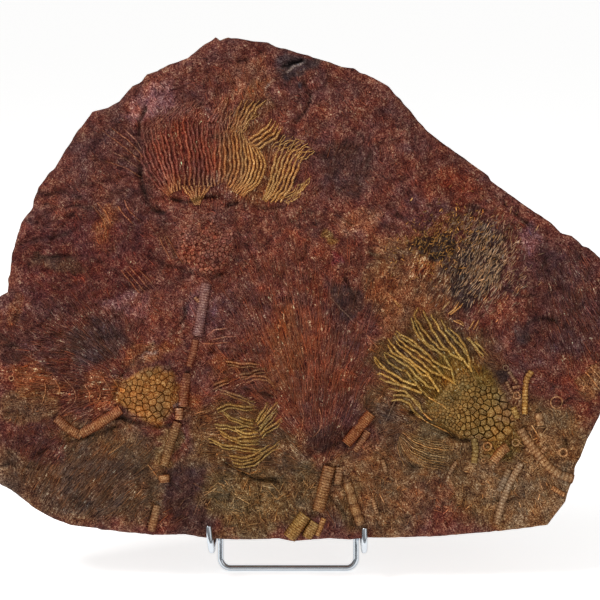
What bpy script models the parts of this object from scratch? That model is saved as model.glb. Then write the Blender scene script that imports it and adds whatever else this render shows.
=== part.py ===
"""Crinoid fossil plate: a rock slab with sea-lily crowns, cups and stems, leaning on a chromed rod stand.

The slab's face is laid out in millimetres as (across, up), measured from the foot of the slab in the
middle of its face. Relief stands out of the face towards the viewer.
"""

import math

import bpy
import numpy as np

MM = 0.001

# How the slab stands.
LEAN = math.radians(12.0)
FACE_FOOT = (0.0, -70.0, 35.0)
SLAB_THICKNESS = 30.0
TOUCH_GAP = 0.3

# The broken outline of the face, anticlockwise from the left tip.
OUTLINE = [
    (-240, 172), (-242, 133), (-242, 87), (-239, 59), (-234, 44.5), (-226, 40), (-207, 25.5),
    (-192, 17), (-179, 12), (-159, 9.5), (-137, 7), (-115, 4.5), (-90, 5), (-74, 2.3), (-60, 1.2),
    (-39, 0.8), (-16, 1.6), (-6, -0.4), (23, 2), (39, 0.8), (52, 2.3), (74, 2.3), (100, 3.5),
    (124, 5), (144, 6.5), (182, 11), (193, 12.5), (200, 22), (207, 31), (210, 41), (213, 51),
    (214, 57), (219, 66), (224, 79), (234, 97.5), (239, 114), (242, 149), (242, 188), (239, 207),
    (234, 221), (225, 229), (221, 230), (212, 238), (204, 240), (196, 248), (165, 269), (149, 281),
    (147, 285), (131, 296), (112, 310), (98, 321), (86, 335), (78, 344), (69, 355), (52, 364),
    (47, 365.5), (42, 369), (33, 370), (25, 373), (5, 379), (-19, 385.5), (-25, 389), (-37, 390),
    (-48, 392), (-56, 392.5), (-62, 389.5), (-65.5, 392.7), (-77, 386), (-87, 377.5), (-101, 372),
    (-110, 366.5), (-119, 363.5), (-123, 359), (-131, 355), (-141, 343), (-150, 338), (-162, 335),
    (-174, 318), (-183, 305), (-191, 291), (-204, 276), (-208, 266), (-209, 260), (-218, 248),
    (-225, 222), (-226, 211), (-227, 204), (-228, 194), (-234, 191),
]
OUTLINE_CENTRE = (5.0, 185.0)

# The slab's skin: rings across the face, rows down the broken side, rings across the back.
POINTS_AROUND = 440
FACE_RINGS = 150
SIDE_ROWS = 7
BACK_RINGS = 16
SLAB_TRIANGLES = 8900

# The face stays level near its foot, in reach of the hooks.
LEVEL_FOOT = 16.0
RELIEF_FADE = 10.0
HOOK_CLEARANCE = 9.0

# The broken side: its rounded front edge, how far the back edge is set in (a little where the slab
# stands, more elsewhere), and how the side bulges and narrows as shares of the slab's radius.
EDGE_ROUND = 1.8
EDGE_ROUND_REACH = 3.0
BACK_EDGE_SET_IN = 10.0
FOOT_EDGE_SET_IN = 1.5
SIDE_BULGE = 0.004
SIDE_ROUGHNESS = 0.006
SIDE_NARROWING = 0.008
SIDE_LUMP_LENGTH = 40.0
LUMP_RADIUS = 120.0

# The underside between and beyond the hooks: half its width, how it fades, and how far it drops.
UNDERSIDE_HALF_WIDTH = 95.0
UNDERSIDE_FADE = 30.0
UNDERSIDE_DROP = 1.4
UNDERSIDE_DROP_BY = 0.7

# The back: the share of the radius over which it comes to its full depth, and the dips in it.
BACK_SLOPE = 0.35
BACK_DIP = 2.5
BACK_DIP_LENGTH = 90.0

# Low rises and hollows of the rock face: (centre, half size, turn in degrees, height).
RISES = [
    ((-61, 297), (66, 44), -8, 4.0),
    ((-74, 235), (30, 30), 0, 5.0),
    ((-117, 120), (26, 32), 10, 7.5),
    ((104, 128), (60, 44), 35, 8.0),
    ((-47, 96), (36, 48), 0, 5.0),
    ((8, 130), (48, 62), 12, 3.5),
    ((51, 249), (24, 15), -20, 3.5),
    ((-205, 128), (13, 13), 0, 4.0),
    ((-27, 55), (14, 9), 0, 3.5),
    ((226, 125), (22, 20), 0, 2.5),
    ((-160, 215), (50, 30), 20, 2.5),
    ((20, 340), (60, 22), -15, 2.5),
]
HOLLOWS = [
    ((-115, 257), (8, 6), 0, -2.5),
    ((-56, 266), (22, 4), -12, -2.5),
    ((12, 20), (8, 6), 20, -3.0),
    ((160, 136), (6, 6), 0, -2.5),
    ((-76, 92), (6, 14), 0, -2.5),
    ((54, 225), (20, 10), 10, -2.0),
    ((150, 222), (44, 26), 45, -2.5),
    ((112, 83), (14, 3.5), -20, -3.0),
    ((-20, 47), (13, 3), 0, -2.0),
    ((35, 252), (14, 2), -40, -1.5),
    ((-195, 55), (40, 18), -20, -2.0),
]

# Stems lying in the face: (route, half width), each standing out by about half its width.
STEMS = [
    ([(-74, 214), (-77, 176), (-80, 155), (-88, 129), (-90, 104)], 4.3),
    ([(-95, 93), (-101, 76), (-106, 59), (-106, 46)], 4.2),
    ([(-111, 28), (-116, 8)], 3.6),
    ([(-142, 105), (-158, 92), (-172, 83), (-181, 87), (-190, 94)], 4.2),
    ([(23, 58), (14, 23)], 5.0),
    ([(31, 58), (29, 44)], 3.6),
    ([(37, 46), (41, 28), (47, 14)], 4.0),
    ([(4, 21), (-9, -2)], 5.8),
    ([(12, 15), (4, -2)], 4.6),
    ([(55, 100), (36, 76)], 4.8),
    ([(53, 86), (43, 70)], 3.2),
    ([(181, 133), (176, 99)], 2.8),
    ([(156, 93), (178, 77), (195, 56), (211, 50)], 4.2),
    ([(160, 69), (151, 62)], 4.3),
    ([(172, 61), (161, 41), (152, 12)], 3.0),
    ([(163, 55), (155, 39)], 2.7),
    ([(168, 106), (168, 94)], 4.0),
    ([(76, 80), (83, 56), (109, 58)], 2.0),
]

# Crowns: the line that the arms spring from, the line their tips reach, how many arms, and how
# much of the way an arm keeps straight on from its base before it bends to its tip.
CROWNS = [
    {
        "bases": [(-105, 273), (-91, 275), (-66, 276), (-46, 267), (-28, 261)],
        "tips": [(-119, 313), (-103, 331), (-74, 334), (-39, 335), (1, 305)],
        "arms": 15,
        "start": (0.0, 22.0),
    },
    {
        "bases": [(90, 99), (107, 112), (119, 124), (133, 134), (142, 136)],
        "tips": [(58, 126), (55, 147), (60, 162), (87, 174), (115, 168), (129, 158), (146, 146)],
        "arms": 15,
        "start": (-8.0, 12.0),
    },
    {
        "bases": [(-66, 138), (-67, 122), (-68, 108), (-69, 94), (-64, 79), (-56, 66)],
        "tips": [(-30, 141), (-25, 126), (-25, 110), (-27, 97), (-22, 84), (-18, 75)],
        "arms": 9,
        "start": (14.0, -6.0),
    },
    {
        "bases": [(10, 66), (16, 72), (22, 76), (30, 78)],
        "tips": [(-52, 150), (-44, 190), (-18, 205), (12, 190), (36, 160), (50, 128)],
        "arms": 8,
        "start": (2.0, 50.0),
    },
]
ARM_HALF_WIDTH = 2.0
ARM_HEIGHT = 2.2
STEPS_ALONG_ARM = 9

# Cups: patches of plates, (centre, half size, turn in degrees), and one plate's pitch and height.
CUPS = [
    ((-76, 229), (27, 26), 0),
    ((-118, 112), (24, 22), 10),
    ((133, 104), (36, 24), 38),
]
PLATE_PITCH = 9.0
PLATE_HEIGHT = 2.2

# The stand: one rod bent to a closed loop, and one bent to two hooks and a rear foot.
ROD_RADIUS = 2.5
ROD_SIDES = 8
ROD_FLAT = ROD_RADIUS * math.cos(math.pi / ROD_SIDES)
STAND_MIDDLE = -9.3
LOOP_HALF_WIDTH = 54.2
LOOP_TOP = 225.0
LOOP_FOOT_BEND = 8.0
LOOP_TOP_BEND = 26.0
HOOK_HALF_WIDTH = LOOP_HALF_WIDTH + 2 * ROD_RADIUS + TOUCH_GAP
HOOK_HEIGHT = 26.4
HOOK_REACH = 3.4
HOOK_TIPS = (12.2, 10.7)
HOOK_SPLAY = (-2.4, 0.0)
HOOK_BEND = 7.0
HOOK_RUN_BACK = 46.0
REAR_FOOT = 145.0
REAR_BEND = 12.0

# Turns that bring one of the eight flat sides of each rod square onto the ground. The second allows
# for the twist that the rod's slope gives it on the way to the rear foot.
LOOP_FACET_TURN = math.radians(22.5) + LEAN
HOOK_FACET_TURN = math.radians(26.23)


def smooth(x):
    """Eases from 0 to 1 as x goes from 0 to 1."""
    x = np.clip(x, 0.0, 1.0)
    return x * x * (3.0 - 2.0 * x)


def waves(across, up, length, seed):
    """Sum of eight seeded sine waves in mixed directions, about -1 to 1, that roughens a surface."""
    rng = np.random.default_rng(seed)
    total = np.zeros_like(across)
    for _ in range(8):
        heading = rng.uniform(0.0, math.pi)
        number = 2.0 * math.pi / (length * rng.uniform(0.7, 1.5))
        along = across * math.cos(heading) + up * math.sin(heading)
        total += np.sin(number * along + rng.uniform(0.0, 2.0 * math.pi))
    return total / 4.0


def inside_oval(across, up, centre, half_size, turn):
    """How deep each point is inside a turned oval: 1 at its centre, 0 on its rim."""
    angle = math.radians(turn)
    a = (across - centre[0]) * math.cos(angle) + (up - centre[1]) * math.sin(angle)
    b = (up - centre[1]) * math.cos(angle) - (across - centre[0]) * math.sin(angle)
    return np.clip(1.0 - np.hypot(a / half_size[0], b / half_size[1]), 0.0, 1.0)


def along_line(points, share):
    """The points of a broken line at the given shares of its length."""
    line = np.array(points, float)
    lengths = np.hypot(*np.diff(line, axis=0).T)
    reached = np.concatenate(([0.0], np.cumsum(lengths))) / lengths.sum()
    return np.stack([np.interp(share, reached, line[:, k]) for k in (0, 1)], axis=-1)


def ridge(across, up, route, half_width, height):
    """A half-round ridge along a route: the height of a circle's arc over the distance to it."""
    route = np.array(route, float)
    low = route.min(axis=0) - half_width
    high = route.max(axis=0) + half_width
    near = (across > low[0]) & (across < high[0]) & (up > low[1]) & (up < high[1])
    spot = np.stack([across[near], up[near]], axis=-1)
    distance = np.full(len(spot), np.inf)
    for start, end in zip(route[:-1], route[1:]):
        run = end - start
        share = np.clip((spot - start) @ run / (run @ run), 0.0, 1.0)
        distance = np.minimum(distance, np.linalg.norm(spot - start - share[:, None] * run, axis=1))
    result = np.zeros_like(across)
    result[near] = height * np.sqrt(np.clip(1.0 - (distance / half_width) ** 2, 0.0, 1.0))
    return result


def crown_relief(across, up, crown):
    """The arms of one crown: curved ridges from the line of bases to the line of tips."""
    shares = np.linspace(0.0, 1.0, crown["arms"])
    bases = along_line(crown["bases"], shares)
    tips = along_line(crown["tips"], shares)
    bends = bases + np.array(crown["start"])
    steps = np.linspace(0.0, 1.0, STEPS_ALONG_ARM)[:, None]
    result = np.zeros_like(across)
    for base, bend, tip in zip(bases, bends, tips):
        arm = (1 - steps) ** 2 * base + 2 * steps * (1 - steps) * bend + steps**2 * tip
        result = np.maximum(result, ridge(across, up, arm, ARM_HALF_WIDTH, ARM_HEIGHT))
    return result


def plate_relief(across, up):
    """Rounded plates in staggered rows, as on the wall of a cup."""
    row = up / (PLATE_PITCH * 0.87)
    nearest_row = np.round(row)
    column = across / PLATE_PITCH + 0.5 * (nearest_row % 2)
    off = np.hypot(column - np.round(column), 0.87 * (row - nearest_row))
    return PLATE_HEIGHT * np.clip(1.0 - (off / 0.5) ** 2, 0.0, 1.0)


def face_relief(across, up):
    """How far the rock and its fossils stand out of the plane of the face."""
    relief = 1.1 * waves(across, up, 150.0, 3) + 0.7 * waves(across, up, 48.0, 5)
    relief += 0.25 * waves(across, up, 20.0, 9)
    for centre, half_size, turn, height in RISES + HOLLOWS:
        relief += height * smooth(1.4 * inside_oval(across, up, centre, half_size, turn))
    for centre, half_size, turn in CUPS:
        share = smooth(4.0 * inside_oval(across, up, centre, half_size, turn))
        relief += share * plate_relief(across, up)
    for crown in CROWNS:
        relief += crown_relief(across, up, crown)
    stems = np.zeros_like(across)
    for route, half_width in STEMS:
        stems = np.maximum(stems, ridge(across, up, route, half_width, 0.75 * half_width))
    return relief + stems


def outline_radius(angles):
    """Distance from the outline's centre to its edge in each direction."""
    edge = np.array(OUTLINE, float) - OUTLINE_CENTRE
    following = np.roll(edge, -1, axis=0)
    turned = np.arctan2(edge[:, 1], edge[:, 0])
    radius = np.zeros_like(angles)
    for start, end, first in zip(edge, following, turned):
        sweep = (np.arctan2(end[1], end[0]) - first) % (2 * math.pi)
        inside = (angles - first) % (2 * math.pi) <= sweep
        run = end - start
        across = np.cos(angles[inside]) * run[1] - np.sin(angles[inside]) * run[0]
        radius[inside] = (start[0] * run[1] - start[1] * run[0]) / across
    return radius


def slab_rows():
    """Rows of skin points (across, depth, up): over the face, down the side and over the back."""
    angles = np.linspace(0.0, 2.0 * math.pi, POINTS_AROUND, endpoint=False)
    radius = outline_radius(angles)
    heading = np.stack([np.cos(angles), np.sin(angles)])
    centre = np.array(OUTLINE_CENTRE)[:, None]
    rows = []
    for share in np.linspace(0.0, 1.0, FACE_RINGS + 1)[1:]:
        across, up = centre + share * radius * heading
        relief = face_relief(across, up)
        from_hook = np.abs(np.abs(across - STAND_MIDDLE) - HOOK_HALF_WIDTH)
        quiet = smooth((up - LEVEL_FOOT) / RELIEF_FADE + 2.0 * (from_hook > HOOK_CLEARANCE))
        relief = np.where(relief > 0.0, relief * quiet, relief)
        edge_round = EDGE_ROUND * np.exp(-(1.0 - share) * radius / EDGE_ROUND_REACH)
        rows.append(np.stack([across, edge_round - relief, up]))
    rim = rows[-1]
    bottom = smooth((-np.sin(angles) - 0.2) / 0.4)
    back_depth = SLAB_THICKNESS - BACK_EDGE_SET_IN * (1.0 - bottom) - FOOT_EDGE_SET_IN * bottom
    rough = waves(*(heading * LUMP_RADIUS), SIDE_LUMP_LENGTH, 11)
    from_middle = np.abs(rim[0] - STAND_MIDDLE)
    under = smooth((UNDERSIDE_HALF_WIDTH - from_middle) / UNDERSIDE_FADE) * bottom
    for share in np.linspace(0.0, 1.0, SIDE_ROWS + 1)[1:]:
        bulge = (SIDE_BULGE + SIDE_ROUGHNESS * rough) * math.sin(math.pi * share)
        size = 1.0 + (bulge - SIDE_NARROWING * share) * (1.0 - under)
        across = centre[0] + (rim[0] - centre[0]) * size
        up = centre[1] + (rim[2] - centre[1]) * size
        up = up - UNDERSIDE_DROP * under * smooth(share / UNDERSIDE_DROP_BY)
        rows.append(np.stack([across, rim[1] + (back_depth - rim[1]) * share, up]))
    rim = rows[-1]
    for share in np.linspace(1.0, 0.0, BACK_RINGS + 1)[1:-1]:
        across = centre[0] + (rim[0] - centre[0]) * share
        up = centre[1] + (rim[2] - centre[1]) * share
        fill = smooth((1.0 - share) / BACK_SLOPE)
        dip = np.clip(waves(across, up, BACK_DIP_LENGTH, 21), 0.0, 1.0) * BACK_DIP
        depth = rim[1] + (SLAB_THICKNESS - rim[1]) * fill - dip * fill
        rows.append(np.stack([across, depth, up]))
    return rows


def build_slab():
    """The rock with everything fossil in it, one closed skin thinned where it is plain."""
    rows = slab_rows()
    count = len(rows)
    points = np.concatenate([row.T for row in rows]) * MM
    face_middle = [OUTLINE_CENTRE[0] * MM, rows[0][1].mean() * MM, OUTLINE_CENTRE[1] * MM]
    back_middle = [OUTLINE_CENTRE[0] * MM, rows[-1][1].mean() * MM, OUTLINE_CENTRE[1] * MM]
    points = np.concatenate([points, [face_middle, back_middle]])
    index = np.arange(count * POINTS_AROUND).reshape(count, POINTS_AROUND)
    nxt = np.roll(index, -1, axis=1)
    quads = np.stack([index[:-1], index[1:], nxt[1:], nxt[:-1]], axis=-1).reshape(-1, 4)
    first = len(points) - 2
    front_fan = [(first, a, b) for a, b in zip(index[0], nxt[0])]
    back_fan = [(first + 1, b, a) for a, b in zip(index[-1], nxt[-1])]
    mesh = bpy.data.meshes.new("slab")
    mesh.from_pydata(points.tolist(), [], quads.tolist() + front_fan + back_fan)
    slab = bpy.data.objects.new("slab", mesh)
    slab.location = [value * MM for value in FACE_FOOT]
    slab.rotation_euler = (-LEAN, 0.0, 0.0)
    thin = slab.modifiers.new("thin out plain rock", "DECIMATE")
    thin.ratio = SLAB_TRIANGLES / (2 * len(quads) + len(front_fan) + len(back_fan))
    return slab


def bent_path(corners, bends, closed=False):
    """A rod's centre line through corners, each rounded to its bend radius by an arc of six points."""
    corners = [np.array(corner, float) for corner in corners]
    path = []
    for k, corner in enumerate(corners):
        if not closed and k in (0, len(corners) - 1):
            path.append(corner)
            continue
        before = corners[k - 1] - corner
        after = corners[(k + 1) % len(corners)] - corner
        before = before / np.linalg.norm(before)
        after = after / np.linalg.norm(after)
        half = 0.5 * math.acos(np.clip(before @ after, -1.0, 1.0))
        middle = (before + after) / np.linalg.norm(before + after)
        centre = corner + middle * bends[k] / math.sin(half)
        first = corner + before * bends[k] / math.tan(half) - centre
        last = corner + after * bends[k] / math.tan(half) - centre
        sweep = math.pi - 2.0 * half
        for share in np.linspace(0.0, 1.0, 6):
            near = math.sin((1.0 - share) * sweep) * first
            far = math.sin(share * sweep) * last
            path.append(centre + (near + far) / math.sin(sweep))
    return path


def build_rod(name, path, closed, facet_turn):
    """A chromed rod with eight flat sides, turned about its line so that one side faces down."""
    curve = bpy.data.curves.new(name, "CURVE")
    curve.dimensions = "3D"
    curve.bevel_depth = ROD_RADIUS * MM
    curve.bevel_resolution = ROD_SIDES // 2 - 2
    curve.use_fill_caps = True
    spline = curve.splines.new("POLY")
    spline.points.add(len(path) - 1)
    for point, place in zip(spline.points, path):
        point.co = (*(value * MM for value in place), 1.0)
        point.tilt = facet_turn
    spline.use_cyclic_u = closed
    return bpy.data.objects.new(name, curve)


def build_back_rest_loop():
    """The front foot on the ground and the loop that the slab's back leans on, drawn in one plane."""
    setback = SLAB_THICKNESS + TOUCH_GAP + ROD_RADIUS
    down = (FACE_FOOT[2] - ROD_FLAT - setback * math.sin(LEAN)) / math.cos(LEAN)
    side = LOOP_HALF_WIDTH
    corners = [(-side, 0, 0), (side, 0, 0), (side, 0, down + LOOP_TOP), (-side, 0, down + LOOP_TOP)]
    bends = [LOOP_FOOT_BEND, LOOP_FOOT_BEND, LOOP_TOP_BEND, LOOP_TOP_BEND]
    loop = build_rod("back_rest_loop", bent_path(corners, bends, closed=True), True, LOOP_FACET_TURN)
    foot_back = setback * math.cos(LEAN) - down * math.sin(LEAN)
    loop.location = (STAND_MIDDLE * MM, (FACE_FOOT[1] + foot_back) * MM, ROD_FLAT * MM)
    loop.rotation_euler = (-LEAN, 0.0, 0.0)
    return loop


def build_hook_and_foot_rod():
    """Two hooks in front of the slab, run back under it past the loop and down to a rear foot."""
    up = np.array([math.sin(LEAN), math.cos(LEAN)])
    out = np.array([-math.cos(LEAN), math.sin(LEAN)])
    foot = np.array([0.0, FACE_FOOT[2]])
    drop = (HOOK_HEIGHT - foot[1] - HOOK_REACH * out[1]) / up[1]
    bend_y, bend_z = foot + HOOK_REACH * out + drop * up
    corners = []
    for sign, tip, splay in zip((-1, 1), HOOK_TIPS, HOOK_SPLAY):
        tip_y, tip_z = foot + HOOK_REACH * out + tip * up
        side = sign * HOOK_HALF_WIDTH
        run = [
            (side + splay, tip_y, tip_z),
            (side, bend_y, bend_z),
            (side, HOOK_RUN_BACK, HOOK_HEIGHT),
            (side, REAR_FOOT, ROD_FLAT),
        ]
        corners += run if sign < 0 else run[::-1]
    bends = [0.0, HOOK_BEND, 30.0, REAR_BEND, REAR_BEND, 30.0, HOOK_BEND, 0.0]
    rod = build_rod("hook_and_foot_rod", bent_path(corners, bends), False, HOOK_FACET_TURN)
    rod.location = (STAND_MIDDLE * MM, FACE_FOOT[1] * MM, 0.0)
    return rod


def principled(name, colour, roughness, metallic):
    """A plain material with one colour."""
    material = bpy.data.materials.new(name)
    material.use_nodes = True
    shader = material.node_tree.nodes["Principled BSDF"]
    shader.inputs["Base Color"].default_value = (*colour, 1.0)
    shader.inputs["Roughness"].default_value = roughness
    shader.inputs["Metallic"].default_value = metallic
    return material


for old in list(bpy.data.objects):
    bpy.data.objects.remove(old, do_unlink=True)

collection = bpy.data.collections.new("crinoid_fossil_plate")
bpy.context.scene.collection.children.link(collection)

stone = principled("red_limestone", (0.13, 0.055, 0.035), 0.8, 0.0)
loop_chrome = principled("loop_chrome", (0.8, 0.81, 0.83), 0.08, 1.0)
hook_chrome = principled("hook_chrome", (0.8, 0.81, 0.83), 0.08, 1.0)

for piece, material in (
    (build_slab(), stone),
    (build_back_rest_loop(), loop_chrome),
    (build_hook_and_foot_rod(), hook_chrome),
):
    piece.data.materials.append(material)
    collection.objects.link(piece)
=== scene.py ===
"""Looks of the crinoid fossil plate: the rock, the sea lilies that stand out of it and the chromed stand.

Places on the slab's face are in millimetres, as (across, up) from the foot of the slab in the middle of
its face, and out is the height above the plane of the face.
"""

import math

import bpy
import numpy as np
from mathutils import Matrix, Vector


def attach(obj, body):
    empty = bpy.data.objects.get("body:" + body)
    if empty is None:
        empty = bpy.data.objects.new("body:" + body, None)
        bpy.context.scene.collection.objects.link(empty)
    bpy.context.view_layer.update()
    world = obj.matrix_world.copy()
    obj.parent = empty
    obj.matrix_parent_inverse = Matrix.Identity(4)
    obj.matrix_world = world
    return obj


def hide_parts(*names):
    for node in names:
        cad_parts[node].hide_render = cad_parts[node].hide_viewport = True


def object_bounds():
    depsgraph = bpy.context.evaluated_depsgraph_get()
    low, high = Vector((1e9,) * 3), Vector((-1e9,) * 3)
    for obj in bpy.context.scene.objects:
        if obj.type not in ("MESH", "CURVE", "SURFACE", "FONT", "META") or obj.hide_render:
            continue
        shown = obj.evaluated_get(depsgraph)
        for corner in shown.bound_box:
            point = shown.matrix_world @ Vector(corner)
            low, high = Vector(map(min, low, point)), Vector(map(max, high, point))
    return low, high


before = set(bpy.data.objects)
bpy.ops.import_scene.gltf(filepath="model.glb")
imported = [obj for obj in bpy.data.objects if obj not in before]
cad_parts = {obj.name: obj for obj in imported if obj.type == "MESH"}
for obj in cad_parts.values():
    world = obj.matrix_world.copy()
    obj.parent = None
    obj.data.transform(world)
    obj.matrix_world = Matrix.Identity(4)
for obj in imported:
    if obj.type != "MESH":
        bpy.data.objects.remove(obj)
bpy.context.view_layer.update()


# ---- The rock ----------------------------------------------------------------------------------------
# A slab of red limestone split along its bed, its face cleaned by hand so that what is in it stands
# proud, its edge left broken and its back left as it was chiselled. It is stained by iron and manganese.

MM = 0.001
LEAN = math.radians(12.0)
FACE_FOOT = np.array([0.0, -70.0, 35.0])
ACROSS = np.array([1.0, 0.0, 0.0])
UP = np.array([0.0, math.sin(LEAN), math.cos(LEAN)])
OUT = np.array([0.0, -math.cos(LEAN), math.sin(LEAN)])
SLAB_THICKNESS = 30.0

# Where the stand's rods pass the slab, from its middle. The fine growth leaves room for the hooks.
STAND_MIDDLE = -9.3
ROD_RADIUS = 2.5
TOUCH_GAP = 0.3
LOOP_HALF_WIDTH = 54.2
HOOK_HALF_WIDTH = LOOP_HALF_WIDTH + 2 * ROD_RADIUS + TOUCH_GAP
HOOK_ROOM = 24.0
HOOK_GAP = 7.0

# The broken outline of the face, anticlockwise from the left tip.
OUTLINE = [
    (-240, 172), (-242, 133), (-242, 87), (-239, 59), (-234, 44.5), (-226, 40), (-207, 25.5),
    (-192, 17), (-179, 12), (-159, 9.5), (-137, 7), (-115, 4.5), (-90, 5), (-74, 2.3), (-60, 1.2),
    (-39, 0.8), (-16, 1.6), (-6, -0.4), (23, 2), (39, 0.8), (52, 2.3), (74, 2.3), (100, 3.5),
    (124, 5), (144, 6.5), (182, 11), (193, 12.5), (200, 22), (207, 31), (210, 41), (213, 51),
    (214, 57), (219, 66), (224, 79), (234, 97.5), (239, 114), (242, 149), (242, 188), (239, 207),
    (234, 221), (225, 229), (221, 230), (212, 238), (204, 240), (196, 248), (165, 269), (149, 281),
    (147, 285), (131, 296), (112, 310), (98, 321), (86, 335), (78, 344), (69, 355), (52, 364),
    (47, 365.5), (42, 369), (33, 370), (25, 373), (5, 379), (-19, 385.5), (-25, 389), (-37, 390),
    (-48, 392), (-56, 392.5), (-62, 389.5), (-65.5, 392.7), (-77, 386), (-87, 377.5), (-101, 372),
    (-110, 366.5), (-119, 363.5), (-123, 359), (-131, 355), (-141, 343), (-150, 338), (-162, 335),
    (-174, 318), (-183, 305), (-191, 291), (-204, 276), (-208, 266), (-209, 260), (-218, 248),
    (-225, 222), (-226, 211), (-227, 204), (-228, 194), (-234, 191),
]
OUTLINE_CENTRE = (5.0, 185.0)

# Low rises and hollows of the rock face: (centre, half size, turn in degrees, height).
RISES = [
    ((-61, 297), (66, 44), -8, 4.0),
    ((-74, 235), (30, 30), 0, 4.0),
    ((-117, 118), (26, 30), 10, 7.5),
    ((104, 128), (60, 44), 35, 7.5),
    ((142, 98), (34, 26), 30, 3.5),
    ((-47, 96), (36, 48), 0, 5.0),
    ((8, 130), (48, 62), 12, 3.5),
    ((51, 249), (24, 15), -20, 3.5),
    ((-205, 128), (13, 13), 0, 4.0),
    ((-27, 55), (14, 9), 0, 3.5),
    ((226, 125), (22, 20), 0, 2.5),
    ((-160, 215), (50, 30), 20, 2.5),
    ((20, 340), (60, 22), -15, 2.5),
]
HOLLOWS = [
    ((-115, 257), (8, 6), 0, -3.0),
    ((-56, 266), (22, 4), -12, -3.0),
    ((12, 20), (8, 6), 20, -3.0),
    ((160, 136), (6, 6), 0, -3.0),
    ((-76, 92), (6, 14), 0, -3.0),
    ((54, 225), (20, 10), 10, -2.0),
    ((150, 222), (44, 26), 45, -2.5),
    ((112, 83), (14, 3.5), -20, -3.0),
    ((-20, 47), (13, 3), 0, -2.0),
    ((35, 252), (14, 2), -40, -1.5),
    ((-195, 55), (40, 18), -20, -2.0),
]

# Cracks and the furrows round the fossils: (route, half width, height at the middle).
CREASES = [
    ([(-120, 338), (-125, 327), (-126, 305), (-124, 282), (-119, 264), (-113, 257), (-106, 256)], 1.5, -2.2),
    ([(-100, 267), (-90, 264), (-81, 266), (-73, 269), (-63, 270)], 1.6, -2.2),
    ([(-56, 262), (-47, 264), (-34, 262), (-26, 259), (-12, 261)], 1.5, -2.2),
    ([(-218, 232), (-203, 236), (-190, 237), (-174, 243)], 1.6, -1.8),
    ([(-225, 218), (-206, 221), (-185, 222), (-165, 222), (-144, 211), (-129, 194)], 1.4, -1.5),
    ([(-115, 220), (-100, 214), (-83, 209), (-69, 204), (-56, 212), (-48, 221)], 1.4, -1.6),
    ([(-104, 247), (-101, 235), (-97, 221)], 1.3, -1.4),
    ([(87, 101), (95, 97), (105, 90), (124, 79), (131, 78)], 1.8, -2.8),
    ([(-58, 61), (-47, 55), (-37, 49), (-30, 48), (-20, 49)], 1.4, -2.0),
    ([(-140, 97), (-129, 92), (-118, 90), (-107, 89), (-100, 91)], 1.8, -2.8),
    ([(-234, 58), (-214, 65), (-191, 74), (-168, 81), (-144, 89)], 1.3, -1.4),
    ([(-145, 110), (-141, 125), (-129, 141), (-114, 154)], 1.3, -1.4),
    ([(-13, 370), (-6, 373), (1, 375)], 1.7, -2.8),
    ([(28, 257), (34, 250), (41, 246)], 1.2, -1.8),
    ([(51, 233), (56, 224), (66, 221)], 1.4, -1.8),
    ([(36, 204), (41, 192), (48, 179), (52, 171)], 1.4, -1.6),
    ([(-88, 132), (-89, 116), (-87, 101)], 1.2, -1.8),
    ([(-70, 147), (-56, 150), (-42, 147)], 1.4, -1.4),
    ([(-42, 119), (-33, 116), (-22, 113)], 1.3, -1.8),
    ([(-86, 188), (-90, 174), (-97, 165), (-101, 160)], 1.2, -1.2),
    ([(203, 106), (212, 112), (223, 109), (232, 104)], 1.3, -1.5),
    ([(207, 79), (212, 69), (207, 55), (203, 51)], 1.3, -1.8),
    ([(41, 322), (47, 317), (58, 308), (70, 315), (81, 321)], 1.3, -1.1),
    ([(-48, 374), (-37, 377), (-30, 381)], 1.4, -1.2),
    ([(2, 360), (9, 347), (5, 335), (-3, 327)], 1.4, -1.2),
    ([(74, 282), (94, 283), (109, 288)], 1.3, -1.0),
    ([(172, 165), (179, 171), (191, 174), (200, 171)], 1.4, -1.5),
    ([(187, 211), (193, 221), (203, 225)], 1.3, -1.2),
    ([(23, 35), (30, 27), (36, 20)], 1.3, -1.4),
    ([(-156, 158), (-142, 160), (-129, 154)], 1.3, -1.2),
    ([(-234, 161), (-223, 153), (-217, 143)], 1.4, -1.4),
    ([(-207, 273), (-196, 270), (-186, 273), (-172, 268)], 1.6, -1.8),
    ([(-198, 263), (-186, 259), (-174, 262), (-163, 259)], 1.3, -1.2),
    ([(-212, 250), (-200, 246), (-188, 251), (-177, 255)], 1.4, -1.5),
    ([(-190, 196), (-172, 201), (-158, 196), (-140, 200)], 1.5, -1.2),
    ([(-226, 199), (-219, 187), (-221, 172)], 1.4, -1.3),
    ([(-144, 351), (-133, 357), (-120, 358)], 1.4, -1.2),
    ([(-165, 326), (-157, 316), (-159, 305)], 1.4, -1.2),
    ([(-36, 222), (-30, 208), (-33, 193)], 1.4, -1.1),
    ([(-8, 250), (4, 243), (15, 248)], 1.5, -1.3),
    ([(100, 262), (117, 258), (133, 262), (150, 256)], 1.4, -1.4),
    ([(168, 255), (180, 246), (196, 240)], 1.4, -1.4),
    ([(76, 255), (88, 248), (97, 239)], 1.4, -1.4),
    ([(160, 197), (172, 190), (186, 192)], 1.4, -1.2),
    ([(57, 128), (51, 116), (52, 102)], 1.3, -1.3),
    ([(78, 62), (92, 57), (108, 60), (121, 54)], 1.3, -1.3),
    ([(136, 36), (150, 30), (168, 33)], 1.3, -1.3),
    ([(-84, 40), (-70, 33), (-54, 36)], 1.3, -1.2),
    ([(-146, 61), (-128, 54), (-112, 57)], 1.3, -1.2),
]

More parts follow.
